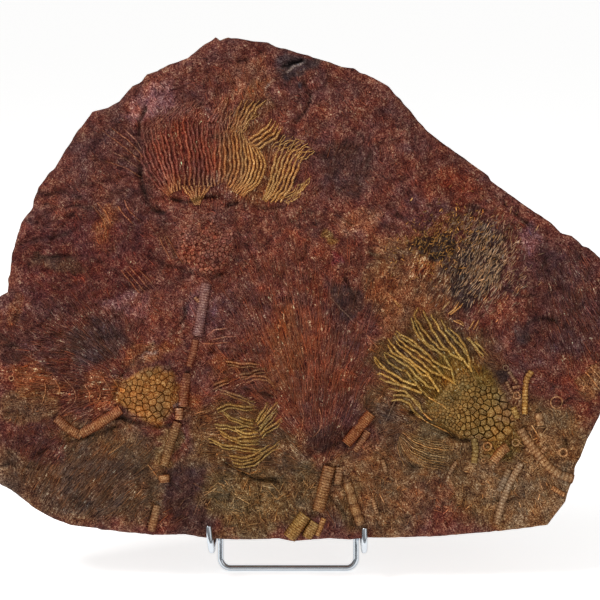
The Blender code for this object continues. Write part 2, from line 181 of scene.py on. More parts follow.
# The colours that the stone takes, and those of its painted shade and glints, as red, green and blue out of
# 255.
STONE_COLOURS = {
    "red_brown": (99, 53, 46),
    "red_maroon": (93, 49, 44),
    "deep_red": (88, 40, 36),
    "maroon": (86, 46, 42),
    "dark_maroon": (72, 42, 38),
    "plum": (98, 54, 48),
    "purple": (82, 47, 46),
    "magenta": (116, 48, 62),
    "brick": (115, 58, 42),
    "rust": (124, 70, 43),
    "rust_red": (108, 50, 35),
    "tan_red": (132, 82, 62),
    "tan": (128, 92, 63),
    "stem_tan": (126, 98, 74),
    "gold": (154, 111, 60),
    "olive_gold": (147, 114, 57),
    "olive": (102, 76, 48),
    "grey_brown": (91, 64, 51),
    "umber": (70, 46, 36),
    "manganese": (50, 35, 34),
    "black": (32, 23, 23),
    "lilac": (124, 79, 81),
    "slate": (64, 45, 46),
    "crown_red": (104, 48, 38),
    "crown_gold": (126, 76, 46),
    "crown_olive": (115, 82, 31),
    "cup_red": (98, 45, 34),
    "left_ochre": (137, 83, 35),
    "orange": (140, 84, 44),
    "gold_brown": (118, 74, 46),
    "tan_brown": (112, 80, 52),
    "olive_brown": (98, 72, 50),
    "cream": (156, 126, 102),
    "grey_pink": (132, 92, 84),
    "vein": (176, 150, 140),
    "arm_ochre": (108, 71, 38),
    "arm_shade": (84, 58, 34),
    "dust": (112, 80, 64),
    "pale_crystal_and_glint": (152, 112, 98),
    "dark_speck": (44, 13, 8),
}

# Where the stone is stained, and where shade is painted among the right crown's arms: (centre, half size,
# turn in degrees, colour, strength).
STAINS = [
    ((-156, 297), (47, 55), 0, "maroon", 0.7),
    ((-164, 219), (70, 47), 0, "deep_red", 0.9),
    ((-187, 165), (55, 31), 0, "maroon", 0.7),
    ((47, 336), (62, 39), -25, "plum", 0.6),
    ((0, 235), (62, 47), 0, "brick", 0.55),
    ((109, 274), (47, 31), -20, "red_maroon", 0.7),
    ((203, 188), (47, 55), 0, "purple", 0.85),
    ((0, 133), (47, 62), 0, "brick", 0.8),
    ((-53, 165), (27, 47), 0, "plum", 0.5),
    ((-76, 180), (12, 26), 0, "lilac", 0.6),
    ((23, 90), (35, 31), 0, "red_maroon", 0.7),
    ((90, 205), (52, 46), 10, "gold_brown", 0.8),
    ((109, 110), (66, 70), 0, "olive", 0.7),
    ((176, 55), (78, 66), 0, "tan_brown", 0.95),
    ((64, 38), (58, 42), 0, "tan_brown", 0.75),
    ((-168, 52), (92, 48), 0, "olive_brown", 0.85),
    ((-40, 52), (66, 44), 0, "olive_brown", 0.8),
    ((-179, 48), (66, 37), -8, "grey_brown", 0.97),
    ((-88, 30), (24, 40), 0, "dark_maroon", 0.97),
    ((-39, 28), (44, 33), 0, "olive", 0.9),
    ((101, 28), (30, 20), 0, "brick", 0.3),
    ((179, 48), (48, 45), 0, "tan", 0.95),
    ((214, 114), (22, 16), 0, "rust_red", 0.6),
    ((-115, 346), (26, 16), 30, "lilac", 0.95),
    ((-153, 246), (11, 19), 0, "rust", 0.6),
    ((-186, 216), (27, 9), -5, "umber", 0.8),
    ((-41, 361), (20, 16), 0, "tan_red", 0.45),
    ((-8, 319), (12, 14), 0, "purple", 0.8),
    ((36, 292), (22, 28), 15, "dark_maroon", 0.85),
    ((117, 274), (27, 19), -20, "rust_red", 0.7),
    ((-136, 186), (25, 12), 0, "lilac", 0.6),
    ((-165, 154), (27, 16), -10, "slate", 0.75),
    ((-225, 185), (9, 20), 0, "rust", 0.55),
    ((-227, 147), (9, 11), 0, "dark_maroon", 0.8),
    ((-208, 122), (26, 18), 0, "rust", 0.8),
    ((-212, 104), (25, 12), 0, "tan_brown", 0.6),
    ((-204, 77), (33, 16), -8, "maroon", 0.95),
    ((-80, 106), (11, 17), 0, "rust", 0.8),
    ((-48, 142), (25, 12), 0, "brick", 0.5),
    ((-12, 149), (16, 44), 0, "rust", 0.5),
    ((12, 196), (14, 11), 0, "rust_red", 0.7),
    ((37, 186), (12, 16), 0, "slate", 0.75),
    ((67, 196), (22, 14), 0, "rust", 0.75),
    ((23, 79), (19, 16), 0, "dark_maroon", 0.8),
    ((73, 87), (17, 31), 0, "grey_brown", 0.8),
    ((102, 79), (23, 19), 0, "olive", 0.8),
    ((48, 247), (20, 14), -15, "tan_red", 0.8),
    ((27, 234), (6, 3), 45, "gold", 0.7),
    ((30, 218), (7, 5), -35, "magenta", 0.6),
    ((90, 213), (16, 9), 0, "rust", 0.7),
    ((184, 235), (11, 11), 0, "lilac", 0.8),
    ((171, 164), (10, 10), 0, "slate", 0.8),
    ((160, 132), (7, 9), 0, "manganese", 0.85),
    ((158, 180), (20, 17), 0, "brick", 0.5),
    ((104, 231), (22, 14), 20, "black", 0.9),
    ((118, 248), (26, 7), 25, "rust", 0.7),
    ((98, 218), (18, 6), -30, "crown_gold", 0.7),
    ((120, 212), (15, 17), 20, "manganese", 0.8),
    ((142, 216), (26, 38), -15, "manganese", 0.85),
    ((128, 250), (20, 8), 25, "manganese", 0.6),
    ((-92, 299), (30, 39), 0, "crown_red", 0.85),
    ((-39, 297), (34, 36), 0, "crown_gold", 0.75),
    ((-58, 340), (19, 11), 20, "brick", 0.6),
    ((-31, 346), (17, 14), 35, "crown_gold", 0.5),
    ((-67, 230), (27, 25), 0, "cup_red", 0.85),
    ((-117, 147), (23, 12), 20, "rust", 0.8),
    ((-117, 113), (28, 25), 0, "left_ochre", 0.97),
    ((-156, 116), (22, 20), 0, "rust", 0.6),
    ((-53, 85), (36, 31), 0, "arm_ochre", 0.7),
    ((-53, 130), (23, 11), 0, "rust", 0.5),
    # Painted shade among the right crown's arms.
    ((98, 145), (48, 34), 0, "arm_shade", 0.9),
    ((121, 114), (44, 36), -30, "crown_olive", 0.95),
    ((150, 87), (34, 19), -35, "crown_olive", 0.85),
    ((-103, 75), (11, 20), 0, "olive", 0.8),
    ((-5, 370), (17, 12), 10, "slate", 0.97),
    ((-4, 372), (8, 4), 25, "black", 0.9),
    ((8, 40), (17, 27), 0, "olive", 0.7),
    ((39, 32), (14, 23), 0, "olive", 0.6),
    ((225, 126), (12, 14), -30, "tan", 0.7),
    ((-86, 25), (24, 18), 0, "black", 0.2),
    ((23, 70), (20, 9), 0, "black", 0.25),
]


def smooth(x):
    """Eases from 0 to 1 as x goes from 0 to 1."""
    x = np.clip(x, 0.0, 1.0)
    return x * x * (3.0 - 2.0 * x)


def in_room(across, up, out):
    """A place on the slab, in metres in the room: the foot plus each measure along its own direction."""
    return MM * (FACE_FOOT + across[..., None] * ACROSS + up[..., None] * UP + out[..., None] * OUT)


def waves(across, up, length, seed):
    """Sum of eight seeded sine waves in mixed directions, about -1 to 1, that roughens a surface."""
    rng = np.random.default_rng(seed)
    total = np.zeros_like(across)
    for _ in range(8):
        heading = rng.uniform(0.0, math.pi)
        number = 2.0 * math.pi / (length * rng.uniform(0.7, 1.5))
        along = across * math.cos(heading) + up * math.sin(heading)
        total += np.sin(number * along + rng.uniform(0.0, 2.0 * math.pi))
    return total / 4.0


def grain(across, up, size, seed):
    """Value noise, -1 to 1: random heights on a square net of the given size, eased between its knots."""
    knots = np.random.default_rng(seed).uniform(-1.0, 1.0, (256, 256))
    column = np.floor(across / size).astype(int)
    row = np.floor(up / size).astype(int)
    s = smooth(across / size - column)
    t = smooth(up / size - row)
    low = knots[column % 256, row % 256] * (1 - s) + knots[(column + 1) % 256, row % 256] * s
    high = knots[column % 256, (row + 1) % 256] * (1 - s) + knots[(column + 1) % 256, (row + 1) % 256] * s
    return low * (1 - t) + high * t


def layered(noise, layers, across, up):
    """Sum of noises of one kind, each given by its height, its size and its seed."""
    return sum(height * noise(across, up, size, seed) for height, size, seed in layers)


def turned_by(a, b, angle):
    """Two measures turned anticlockwise by an angle."""
    return a * np.cos(angle) - b * np.sin(angle), a * np.sin(angle) + b * np.cos(angle)


def inside_oval(across, up, centre, half_size, turn):
    """How deep each point is inside a turned oval: 1 at its centre, 0 on its rim."""
    a, b = turned_by(across - centre[0], up - centre[1], -math.radians(turn))
    return np.clip(1.0 - np.hypot(a / half_size[0], b / half_size[1]), 0.0, 1.0)


def beside_hooks(across):
    """How far beside the nearer hook each place is."""
    return np.abs(np.abs(across - STAND_MIDDLE) - HOOK_HALF_WIDTH)


def distance_to_route(across, up, route):
    """Distance from each point to the nearest stretch of a route of straight runs."""
    nearest = np.full(across.shape, 1e9)
    for (x0, y0), (x1, y1) in zip(route, route[1:]):
        length = math.dist((x0, y0), (x1, y1))
        share = ((across - x0) * (x1 - x0) + (up - y0) * (y1 - y0)) / length**2
        share = np.clip(share, 0.0, 1.0)
        nearest = np.minimum(nearest, np.hypot(across - x0 - share * (x1 - x0), up - y0 - share * (y1 - y0)))
    return nearest


# A fine square net over the face, on which its height and its stain are worked out once.
NET_STEP = 0.8
NET_LEFT = -252.0
NET_FOOT = -8.0
net_across, net_up = np.meshgrid(np.arange(NET_LEFT, 252.0, NET_STEP), np.arange(NET_FOOT, 402.0, NET_STEP),
                                 indexing="ij")


def read_net(net, across, up):
    """Reads a net laid over the face between its knots, along straight lines."""
    column = np.clip((across - NET_LEFT) / NET_STEP, 0.0, net.shape[0] - 1.001)
    row = np.clip((up - NET_FOOT) / NET_STEP, 0.0, net.shape[1] - 1.001)
    i, j = column.astype(int), row.astype(int)
    s, t = column - i, row - j
    if net.ndim == 3:
        s, t = s[..., None], t[..., None]
    low = net[i, j] * (1 - s) + net[i + 1, j] * s
    high = net[i, j + 1] * (1 - s) + net[i + 1, j + 1] * s
    return low * (1 - t) + high * t


CREASE_REACH = 8.0


def along_creases(across, up):
    """The creases' height over the face: each a bell curve of the ragged distance to its route."""
    relief = np.zeros_like(across)
    for route, half_width, height in CREASES:
        low = np.min(route, axis=0) - CREASE_REACH
        high = np.max(route, axis=0) + CREASE_REACH
        near = (across > low[0]) & (across < high[0]) & (up > low[1]) & (up < high[1])
        away = distance_to_route(across[near], up[near], route)
        away = away + 0.6 * grain(across[near], up[near], 4.0, 13)
        fade = 0.65 + 0.6 * grain(across[near], up[near], 11.0, 14)
        relief[near] += height * fade * np.exp(-(away / half_width) ** 2)
    return relief


crease_net = along_creases(net_across, net_up)


# The bed's long waves, as rows of height, size and seed, and its ledges.
BED_WAVES = [(1.1, 150.0, 3), (0.7, 48.0, 5), (0.25, 20.0, 9)]
LEDGE_HEIGHT = 2.2
LEDGE_SPACING = 60.0
LEDGE_RISE = 0.1
CREASE_DEPTH = 1.6


def bed_of_rock(across, up):
    """The face without its grain: long waves, rises, hollows, thin ledges of the bed, and the creases.

    A ledge is a saw's tooth: the bed's level rises quickly at each whole number, and sinks slowly between.
    """
    relief = layered(waves, BED_WAVES, across, up)
    calm = np.zeros_like(across)
    for centre, half_size, turn, height in RISES + HOLLOWS:
        depth = inside_oval(across, up, centre, half_size, turn)
        relief += height * smooth(1.4 * depth)
        calm = np.maximum(calm, smooth(2.5 * depth) * (height > 3.0))
    level = 1.7 * waves(across, up, 90.0, 11) + 0.3 * grain(across, up, 9.0, 12) + up / LEDGE_SPACING
    tooth = level - np.floor(level)
    relief += LEDGE_HEIGHT * (1.0 - calm) * (smooth(tooth / LEDGE_RISE) - tooth)
    return relief + CREASE_DEPTH * read_net(crease_net, across, up)


FACE_GRAIN = [(0.5, 4.6, 51), (0.34, 2.4, 52)]
bed_net = bed_of_rock(net_across, net_up)
grain_net = layered(grain, FACE_GRAIN, net_across, net_up)


def bed_height(across, up):
    """Height of the bed, on which arms and stems lie."""
    return read_net(bed_net, across, up)


def rock_height(across, up):
    """Height of the rock face: the bed and its grain."""
    return read_net(bed_net, across, up) + read_net(grain_net, across, up)


def linear(colour):
    """A colour out of 255 as the light it gives back, by the display's power curve."""
    share = np.array(colour) / 255.0
    return np.where(share < 0.04045, share / 12.92, ((share + 0.055) / 1.055) ** 2.4)


def mixed(first, second, share):
    """A colour turned to another by a share."""
    return first * (1.0 - share) + second * share


# White calcite veins in the rock, as routes.
VEINS = [
    [(-12, 366), (-6, 367), (-2, 369.5), (1, 373)],
    [(-20, 358), (-20.5, 352), (-21, 346)],
    [(-96, 103), (-92, 107), (-90, 103), (-93, 99)],
    [(-101, 163), (-96, 168), (-93, 171)],
    [(-118, 140), (-112, 146), (-107, 150)],
]
VEIN_HALF_WIDTH = 0.8
VEIN_STRENGTH = 0.7

# The noises over the stains, as rows of height, size and seed, and what each warmth does to a colour.
RAGGED_ACROSS = [(7.0, 16.0, 31), (3.5, 5.0, 32)]
RAGGED_UP = [(7.0, 16.0, 33), (3.5, 5.0, 34)]
MOTTLE = [(0.26, 9.0, 35), (0.16, 4.0, 36)]
# How strongly painted shade darkens the creases, by their depth.
CREASE_SHADE = 0.55
WARM_PATCHES = [(1.0, 14.0, 37), (0.8, 6.0, 38)]
WARMTH = np.array([0.13, 0.0, -0.18])


def stained(across, up):
    """The stone's colour at each place: the stains laid over red brown, their rims ragged by noise.

    Then two noises make it brighter and darker, painted shade darkens the creases, and two more noises make
    it warmer and cooler.
    """
    ragged_across = across + layered(grain, RAGGED_ACROSS, across, up)
    ragged_up = up + layered(grain, RAGGED_UP, across, up)
    colour = np.broadcast_to(linear(STONE_COLOURS["red_brown"]), across.shape + (3,))
    for centre, half_size, turn, name, strength in STAINS:
        depth = inside_oval(ragged_across, ragged_up, centre, half_size, turn)
        colour = mixed(colour, linear(STONE_COLOURS[name]), (strength * smooth(3.0 * depth))[..., None])
    for route in VEINS:
        vein = np.exp(-(distance_to_route(ragged_across, ragged_up, route) / VEIN_HALF_WIDTH) ** 2)
        colour = mixed(colour, linear(STONE_COLOURS["vein"]), (VEIN_STRENGTH * vein)[..., None])
    # The creases' painted shade darkens the colour with their depth.
    light = layered(grain, MOTTLE, across, up) + CREASE_SHADE * read_net(crease_net, across, up)
    warm = layered(grain, WARM_PATCHES, across, up)
    return colour * np.exp(light[..., None] + warm[..., None] * WARMTH)


stain_net = stained(net_across, net_up)


def stain_at(across, up):
    """The stone's colour at each place."""
    return read_net(stain_net, across, up)


def star_radius(outline, centre, angles):
    """Distance from a centre to the outline round it, in each direction."""
    edge = np.array(outline, float) - centre
    turned = np.arctan2(edge[:, 1], edge[:, 0])
    edge, turned = edge[np.argsort(turned)], np.sort(turned)
    following = np.roll(edge, -1, axis=0)
    radius = np.zeros_like(angles)
    for start, end, first in zip(edge, following, turned):
        sweep = (np.arctan2(end[1], end[0]) - first) % (2 * math.pi)
        inside = (angles - first) % (2 * math.pi) <= sweep
        run = end - start
        across = np.cos(angles[inside]) * run[1] - np.sin(angles[inside]) * run[0]
        radius[inside] = (start[0] * run[1] - start[1] * run[0]) / across
    return radius


def share_of_reach(across, up):
    """How far out each place is: 0 at the outline's centre, 1 on the outline."""
    a, b = across - OUTLINE_CENTRE[0], up - OUTLINE_CENTRE[1]
    return np.hypot(a, b) / star_radius(OUTLINE, OUTLINE_CENTRE, np.arctan2(b, a))


def disc_net(count):
    """A square net pressed into a disc: its square rings become circles, at even steps round each."""
    line = np.linspace(-1.0, 1.0, count + 1)
    a, b = np.meshgrid(line, line, indexing="ij")
    wide = np.abs(a) > np.abs(b)
    ring = np.where(wide, a, b)
    other = np.where(wide, b, a)
    share = np.divide(other, ring, out=np.zeros_like(ring), where=ring != 0.0)
    angle = np.where(wide, 0.25 * math.pi * share, 0.5 * math.pi - 0.25 * math.pi * share)
    return ring * np.cos(angle), ring * np.sin(angle)


def net_edge(index):
    """The points round the edge of a square net, anticlockwise."""
    return np.concatenate([index[:-1, 0], index[-1, :-1], index[:0:-1, -1], index[0, :0:-1]])


def net_quads(index):
    """The faces of a net, anticlockwise when its rows run across and its columns up."""
    return np.stack([index[:-1, :-1], index[1:, :-1], index[1:, 1:], index[:-1, 1:]], -1).reshape(-1, 4)


def new_piece(name, points, face_groups, values, material):
    """One mesh object: points in metres, groups of faces with equal corners, and values at each point."""
    corners = np.concatenate([group.ravel() for group in face_groups]).astype(np.int32)
    sizes = np.concatenate([np.full(len(group), group.shape[1]) for group in face_groups])
    mesh = bpy.data.meshes.new(name)
    mesh.vertices.add(len(points))
    mesh.vertices.foreach_set("co", points.astype(np.float32).ravel())
    mesh.loops.add(len(corners))
    mesh.loops.foreach_set("vertex_index", corners)
    mesh.polygons.add(len(sizes))
    mesh.polygons.foreach_set("loop_start", (np.cumsum(sizes) - sizes).astype(np.int32))
    mesh.update(calc_edges=True)
    mesh.shade_smooth()
    for label, value in values.items():
        flat = value.reshape(len(points), -1)
        if flat.shape[1] == 1:
            mesh.attributes.new(label, "FLOAT", "POINT").data.foreach_set("value", flat.ravel())
        elif label == "stain":
            full = np.concatenate([flat, np.ones((len(flat), 1))], axis=1)
            mesh.attributes.new(label, "FLOAT_COLOR", "POINT").data.foreach_set("color", full.ravel())
        else:
            mesh.attributes.new(label, "FLOAT_VECTOR", "POINT").data.foreach_set("vector", flat.ravel())
    mesh.materials.append(material)
    piece = bpy.data.objects.new(name, mesh)
    bpy.context.scene.collection.objects.link(piece)
    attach(piece, "root")
    return piece


# The fans that fine growth follows: (point it spreads from, centre, half size, turn in degrees).
FANS = [
    ((17, 52), (2, 134), (62, 90), 10),
    ((-55, 165), (-60, 300), (62, 50), 0),
    ((150, 70), (98, 132), (62, 44), 35),
    ((-125, 84), (-48, 92), (36, 52), 0),
    ((-120, 120), (-176, 140), (52, 62), 0),
    ((-75, -127), (126, 220), (56, 52), 30),
    ((-330, -150), (-168, 46), (60, 40), -12),
    ((150, 330), (214, 180), (30, 60), 0),
]

# How the growth is pushed about where it has no fan, as rows of height, size and seed.
SWIRL_PUSH_A = [(15.0, 36.0, 42), (4.0, 13.0, 43)]
SWIRL_PUSH_B = [(15.0, 36.0, 44), (4.0, 13.0, 45)]
SWIRL_STRENGTH = 0.3
SWIRL_STEP = 0.5
FLOWS_APART = 50.0


def swirl(across, up):
    """Measures across and along the growth where it has no fan: turned axes, pushed about by noise."""
    push_a = layered(grain, SWIRL_PUSH_A, across, up)
    push_b = layered(grain, SWIRL_PUSH_B, across, up)
    return 0.8 * across + 0.6 * up + push_a, 0.8 * up - 0.6 * across + push_b


def flow_at(across, up):
    """Measures across and along the growth, how strong it is, and its heading: about a fan, or the swirl.

    The swirl's heading lies square to the slope of its first measure, found by two small steps.
    """
    a, b = swirl(across, up)
    rise_across = swirl(across + SWIRL_STEP, up)[0] - a
    rise_up = swirl(across, up + SWIRL_STEP)[0] - a
    heading = np.arctan2(rise_across, -rise_up)
    flow = np.stack([a, b, np.full_like(a, -FLOWS_APART)], -1)
    strength = np.full(across.shape, SWIRL_STRENGTH)
    for number, (focus, centre, half_size, turn) in enumerate(FANS):
        reach = np.hypot(across - focus[0], up - focus[1])
        angle = np.arctan2(up - focus[1], across - focus[0])
        middle = math.hypot(centre[0] - focus[0], centre[1] - focus[1])
        share = smooth(2.5 * inside_oval(across, up, centre, half_size, turn))
        wander = 2.0 * grain(across, up, 22.0, 41)
        here = np.stack([angle * middle + wander, reach, np.full_like(reach, FLOWS_APART * number)], -1)
        stronger = share > strength
        flow = np.where(stronger[..., None], here, flow)
        heading = np.where(stronger, angle, heading)
        strength = np.maximum(strength, share)
    return flow, strength, heading


RIM_DROP = 1.8
RIM_ROUNDING = 3.0
LEVEL_FOOT = 16.0
LEVEL_BESIDE_HOOKS = 9.0


def slab_face(count):
    """The face as a net of points, each (across, up, out), rounded off at its rim by an exponential.

    At the hooks nothing rises from the foot of the face, so that they lie close to it.
    """
    x, y = disc_net(count)
    radius = star_radius(OUTLINE, OUTLINE_CENTRE, np.arctan2(y, x))
    across = OUTLINE_CENTRE[0] + x * radius
    up = OUTLINE_CENTRE[1] + y * radius
    to_rim = (1.0 - np.hypot(x, y)) * radius
    relief = rock_height(across, up)
    quiet = smooth((up - LEVEL_FOOT) / 10.0 + 2.0 * (beside_hooks(across) > LEVEL_BESIDE_HOOKS))
    relief = np.where(relief > 0.0, relief * quiet, relief)
    return np.stack([across, up, relief - RIM_DROP * np.exp(-to_rim / RIM_ROUNDING)], -1)


# The side's breaks, as rows of height, size and seed, and how the slab thins to its rim.
SIDE_BREAKS = [(1.6, 23.0, 61), (0.9, 6.0, 62)]
MEAN_REACH = 190.0
THINNER_RIM = 10.0
THINNER_FOOT = 1.5
LEVEL_UNDERSIDE = 95.0


def slab_side(rim, angles, row_count):
    """Rows of points down the broken side, which bulges by a sine and is roughened by noise.

    The stretch of the underside that stands on the rods stays even, and rises a little to the back.
    """
    bottom = smooth((-np.sin(angles) - 0.2) / 0.4)
    back_depth = SLAB_THICKNESS - THINNER_RIM * (1.0 - bottom) - THINNER_FOOT * bottom
    under = smooth((LEVEL_UNDERSIDE - np.abs(rim[:, 0] + 9.0)) / 30.0) * bottom
    round_about = angles * 200.0
    rows = []
    for share in np.linspace(0.0, 1.0, row_count + 1)[1:]:
        depth = np.full_like(angles, share * SLAB_THICKNESS)
        rough = layered(grain, SIDE_BREAKS, round_about, depth)
        rough = rough + 1.2 * grain(round_about + 0.7 * depth, depth, 11.0, 63)
        bulge = 1.0 + (rough + 1.0) * math.sin(math.pi * share) / MEAN_REACH - 0.008 * share
        bulge = 1.0 + (bulge - 1.0) * (1.0 - under)
        row_across = OUTLINE_CENTRE[0] + (rim[:, 0] - OUTLINE_CENTRE[0]) * bulge
        row_up = OUTLINE_CENTRE[1] + (rim[:, 1] - OUTLINE_CENTRE[1]) * bulge
        row_up = row_up - 1.4 * under * smooth(share / 0.7)
        row_out = rim[:, 2] + (-back_depth - rim[:, 2]) * share
        rows.append(np.stack([row_across, row_up, row_out], -1))
    return np.stack(rows)


BACK_DIPS = [(0.9, 11.0, 22), (0.3, 4.0, 23)]


def slab_back(count, rim, angles):
    """The back as a net of points that falls from its rim to a level bed with shallow dips."""
    x, y = disc_net(count)
    angle = np.arctan2(y, x)
    order = np.argsort(angles)
    rim = rim[order]
    rim_reach = np.hypot(rim[:, 0] - OUTLINE_CENTRE[0], rim[:, 1] - OUTLINE_CENTRE[1])
    reach = np.interp(angle, angles[order], rim_reach, period=2 * math.pi)
    rim_out = np.interp(angle, angles[order], rim[:, 2], period=2 * math.pi)
    share = 0.995 * np.hypot(x, y)
    across = OUTLINE_CENTRE[0] + share * reach * np.cos(angle)
    up = OUTLINE_CENTRE[1] + share * reach * np.sin(angle)
    fill = smooth((1.0 - share) / 0.35)
    dip = 2.5 * np.clip(waves(across, up, 90.0, 21), 0.0, 1.0)
    for height, size, seed in BACK_DIPS:
        dip += height * np.abs(grain(across, up, size, seed))
    out = rim_out - (SLAB_THICKNESS + rim_out) * fill + dip * fill
    return np.stack([across, up, out], -1)


def slab_skin(face_count, side_rows):
    """The slab's closed skin, its faces, and how many of its points are the face's.

    It is a net over the face, rows down the side and a net over the back, a third as fine. A seam of
    five-cornered faces joins three steps of the side to each step of the back.
    """
    face = slab_face(face_count)
    face_index = np.arange(face[..., 0].size).reshape(face.shape[:2])
    rim = net_edge(face_index)
    rim_points = face.reshape(-1, 3)[rim]
    angles = np.arctan2(rim_points[:, 1] - OUTLINE_CENTRE[1], rim_points[:, 0] - OUTLINE_CENTRE[0])
    side = slab_side(rim_points, angles, side_rows)
    back = slab_back(face_count // 3, side[-1], angles)

    side_index = face_index.size + np.arange(side[..., 0].size).reshape(side.shape[:2])
    back_index = face_index.size + side_index.size + np.arange(back[..., 0].size).reshape(back.shape[:2])
    belts = np.concatenate([rim[None], side_index])
    nxt = np.roll(belts, -1, axis=1)
    side_faces = np.stack([belts[:-1], belts[1:], nxt[1:], nxt[:-1]], -1).reshape(-1, 4)
    coarse = net_edge(back_index)
    fine = side_index[-1].reshape(-1, 3)
    seam = [fine[:, 0], coarse, np.roll(coarse, -1), np.roll(fine[:, 0], -1), fine[:, 2], fine[:, 1]]
    back_faces = net_quads(back_index)[:, ::-1]
    points = np.concatenate([face.reshape(-1, 3), side.reshape(-1, 3), back.reshape(-1, 3)])
    return points, [net_quads(face_index), side_faces, back_faces, np.stack(seam, -1)], face_index.size


# The materials' shared effects, as node groups.


def add_node(tree, kind, settings=None, **inputs):
    """A node with some of its settings and inputs given; an input may be a value or another's output.

    Inputs that share a name are given by their place, as i0 or i1.
    """
    node = tree.nodes.new("ShaderNode" + kind)
    for label, value in (settings or {}).items():
        setattr(node, label, value)
    for label, value in inputs.items():
        by_place = label[0] == "i" and label[1:].isdigit()
        socket = node.inputs[int(label[1:]) if by_place else label]
        if isinstance(value, bpy.types.NodeSocket):
            tree.links.new(value, socket)
        else:
            socket.default_value = value
    return node


def new_group(name, inputs, outputs):
    """An empty shader node group with named inputs and outputs, and its two end nodes."""
    group = bpy.data.node_groups.new(name, "ShaderNodeTree")
    for label, kind, value in inputs:
        socket = group.interface.new_socket(label, in_out="INPUT", socket_type="NodeSocket" + kind)
        if value is not None:
            socket.default_value = value
    for label, kind in outputs:
        group.interface.new_socket(label, in_out="OUTPUT", socket_type="NodeSocket" + kind)
    return group, group.nodes.new("NodeGroupInput"), group.nodes.new("NodeGroupOutput")


def math_node(tree, operation, a, b=0.0, clamp=False):
    """A math node's output."""
    return add_node(tree, "Math", {"operation": operation, "use_clamp": clamp}, i0=a, i1=b).outputs[0]


def noise_node(tree, place, scale, detail=2.0, roughness=0.6, distortion=0.0):
    """A 3-D noise's value at a place."""
    return add_node(tree, "TexNoise", {"noise_dimensions": "3D"}, Vector=place, Scale=scale, Detail=detail,
                    Roughness=roughness, Distortion=distortion).outputs["Fac"]


def swing_node(tree, value, factor):
    """How far a noise's value is from its middle, times a factor."""
    return math_node(tree, "MULTIPLY", math_node(tree, "SUBTRACT", value, 0.5), factor)


def times_node(tree, a, b, clamp=False):
    """The product of two values."""
    return math_node(tree, "MULTIPLY", a, b, clamp)


def plus_node(tree, a, b, clamp=False):
    """The sum of two values."""
    return math_node(tree, "ADD", a, b, clamp)


def squared_node(tree, swing):
    """The square of one plus a swing: about as far to the light side as to the dark side to the eye."""
    return math_node(tree, "POWER", math_node(tree, "MAXIMUM", plus_node(tree, 1.0, swing), 0.2), 2.0)


def mix_node(tree, share, first, second):
    """A mix of two colours."""
    return add_node(tree, "Mix", {"data_type": "RGBA"}, Factor=share, i6=first, i7=second).outputs[2]


def ease_node(tree, value, low, high):
    """Eases from 0 to 1 as a value goes from low to high."""
    return add_node(tree, "MapRange", {"interpolation_type": "SMOOTHSTEP"}, Value=value,
                    **{"From Min": low, "From Max": high}).outputs["Result"]


COOL_TINT = (0.93, 0.97, 0.97, 1.0)
WARM_TINT = (1.12, 1.0, 0.74, 1.0)
GREEN_POWER = 0.45
BLUE_POWER = 0.33


def build_crystal_group():
    """Crystalline limestone: curled strokes and fine grain vary the light on a stain, warm and cool it,
    and leave pale specks, partly crystals and partly painted glints, and dark specks at their extremes.

    Red takes the light as it is. Green and blue take a power of it that grows with how far red stands
    above them, so that the grain is greyish on every stain: the crystals in it are milky calcite.
    """
    group, given, result = new_group(
        "limestone_crystals",
        [("Stain", "Color", (0.1, 0.04, 0.03, 1.0)), ("Light", "Float", 1.0), ("Place", "Vector", None),
         ("Stroke Scale", "Float", 330.0),
         ("Grain Scale", "Float", 950.0), ("Contrast", "Float", 1.0), ("Pale", "Float", 0.5),
         ("Dark", "Float", 0.5)],
        [("Color", "Color"), ("Height", "Float"), ("Pale Mask", "Float")],
    )
    at = given.outputs
    strokes = noise_node(group, at["Place"], at["Stroke Scale"], detail=4.0, roughness=0.62, distortion=1.9)
    fine = noise_node(group, at["Place"], at["Grain Scale"])
    both = plus_node(group, times_node(group, strokes, 0.55), times_node(group, fine, 0.45))
    bright = squared_node(group, times_node(group, at["Contrast"], swing_node(group, both, 4.4)))
    small_hue = noise_node(group, at["Place"], 270.0, distortion=1.0)
    wide_hue = noise_node(group, at["Place"], 85.0, distortion=0.6)
    hue = plus_node(group, swing_node(group, small_hue, 1.2), swing_node(group, wide_hue, 1.9))
    tint = mix_node(group, plus_node(group, 0.5, hue, True), COOL_TINT, WARM_TINT)
    warmed = add_node(group, "VectorMath", {"operation": "MULTIPLY"}, i0=at["Stain"], i1=tint).outputs[0]
    light = times_node(group, bright, at["Light"])
    parts = add_node(group, "SeparateColor", None, Color=warmed).outputs
    powers = [math_node(group, "POWER", math_node(group, "DIVIDE", parts[0], parts[1 + place]), power)
              for place, power in enumerate((GREEN_POWER, BLUE_POWER))]
    green, blue = (math_node(group, "POWER", light, power) for power in powers)
    factor = add_node(group, "CombineXYZ", None, X=light, Y=green, Z=blue).outputs[0]
    lit = add_node(group, "VectorMath", {"operation": "MULTIPLY"}, i0=warmed, i1=factor).outputs[0]
    pale_mask = ease_node(group, fine, 0.63, 0.75)
    pale_share = times_node(group, pale_mask, at["Pale"], True)
    # Pale specks: partly pale crystals, partly painted glints.
    with_pale = mix_node(group, pale_share, lit, (*linear(STONE_COLOURS["pale_crystal_and_glint"]), 1.0))
    # Dark specks where the strokes are lowest.
    dark_share = times_node(group, ease_node(group, strokes, 0.41, 0.31), at["Dark"], True)
    with_dark = mix_node(group, dark_share, with_pale, (*linear(STONE_COLOURS["dark_speck"]), 1.0))
    group.links.new(with_dark, result.inputs["Color"])
    group.links.new(both, result.inputs["Height"])
    group.links.new(pale_mask, result.inputs["Pale Mask"])
    return group


crystal_group = build_crystal_group()


def new_material(name):
    """A new material, its node tree and its shader."""
    material = bpy.data.materials.new(name)
    material.use_nodes = True
    return material, material.node_tree, material.node_tree.nodes["Principled BSDF"]


STONE_SPECULAR = 0.12


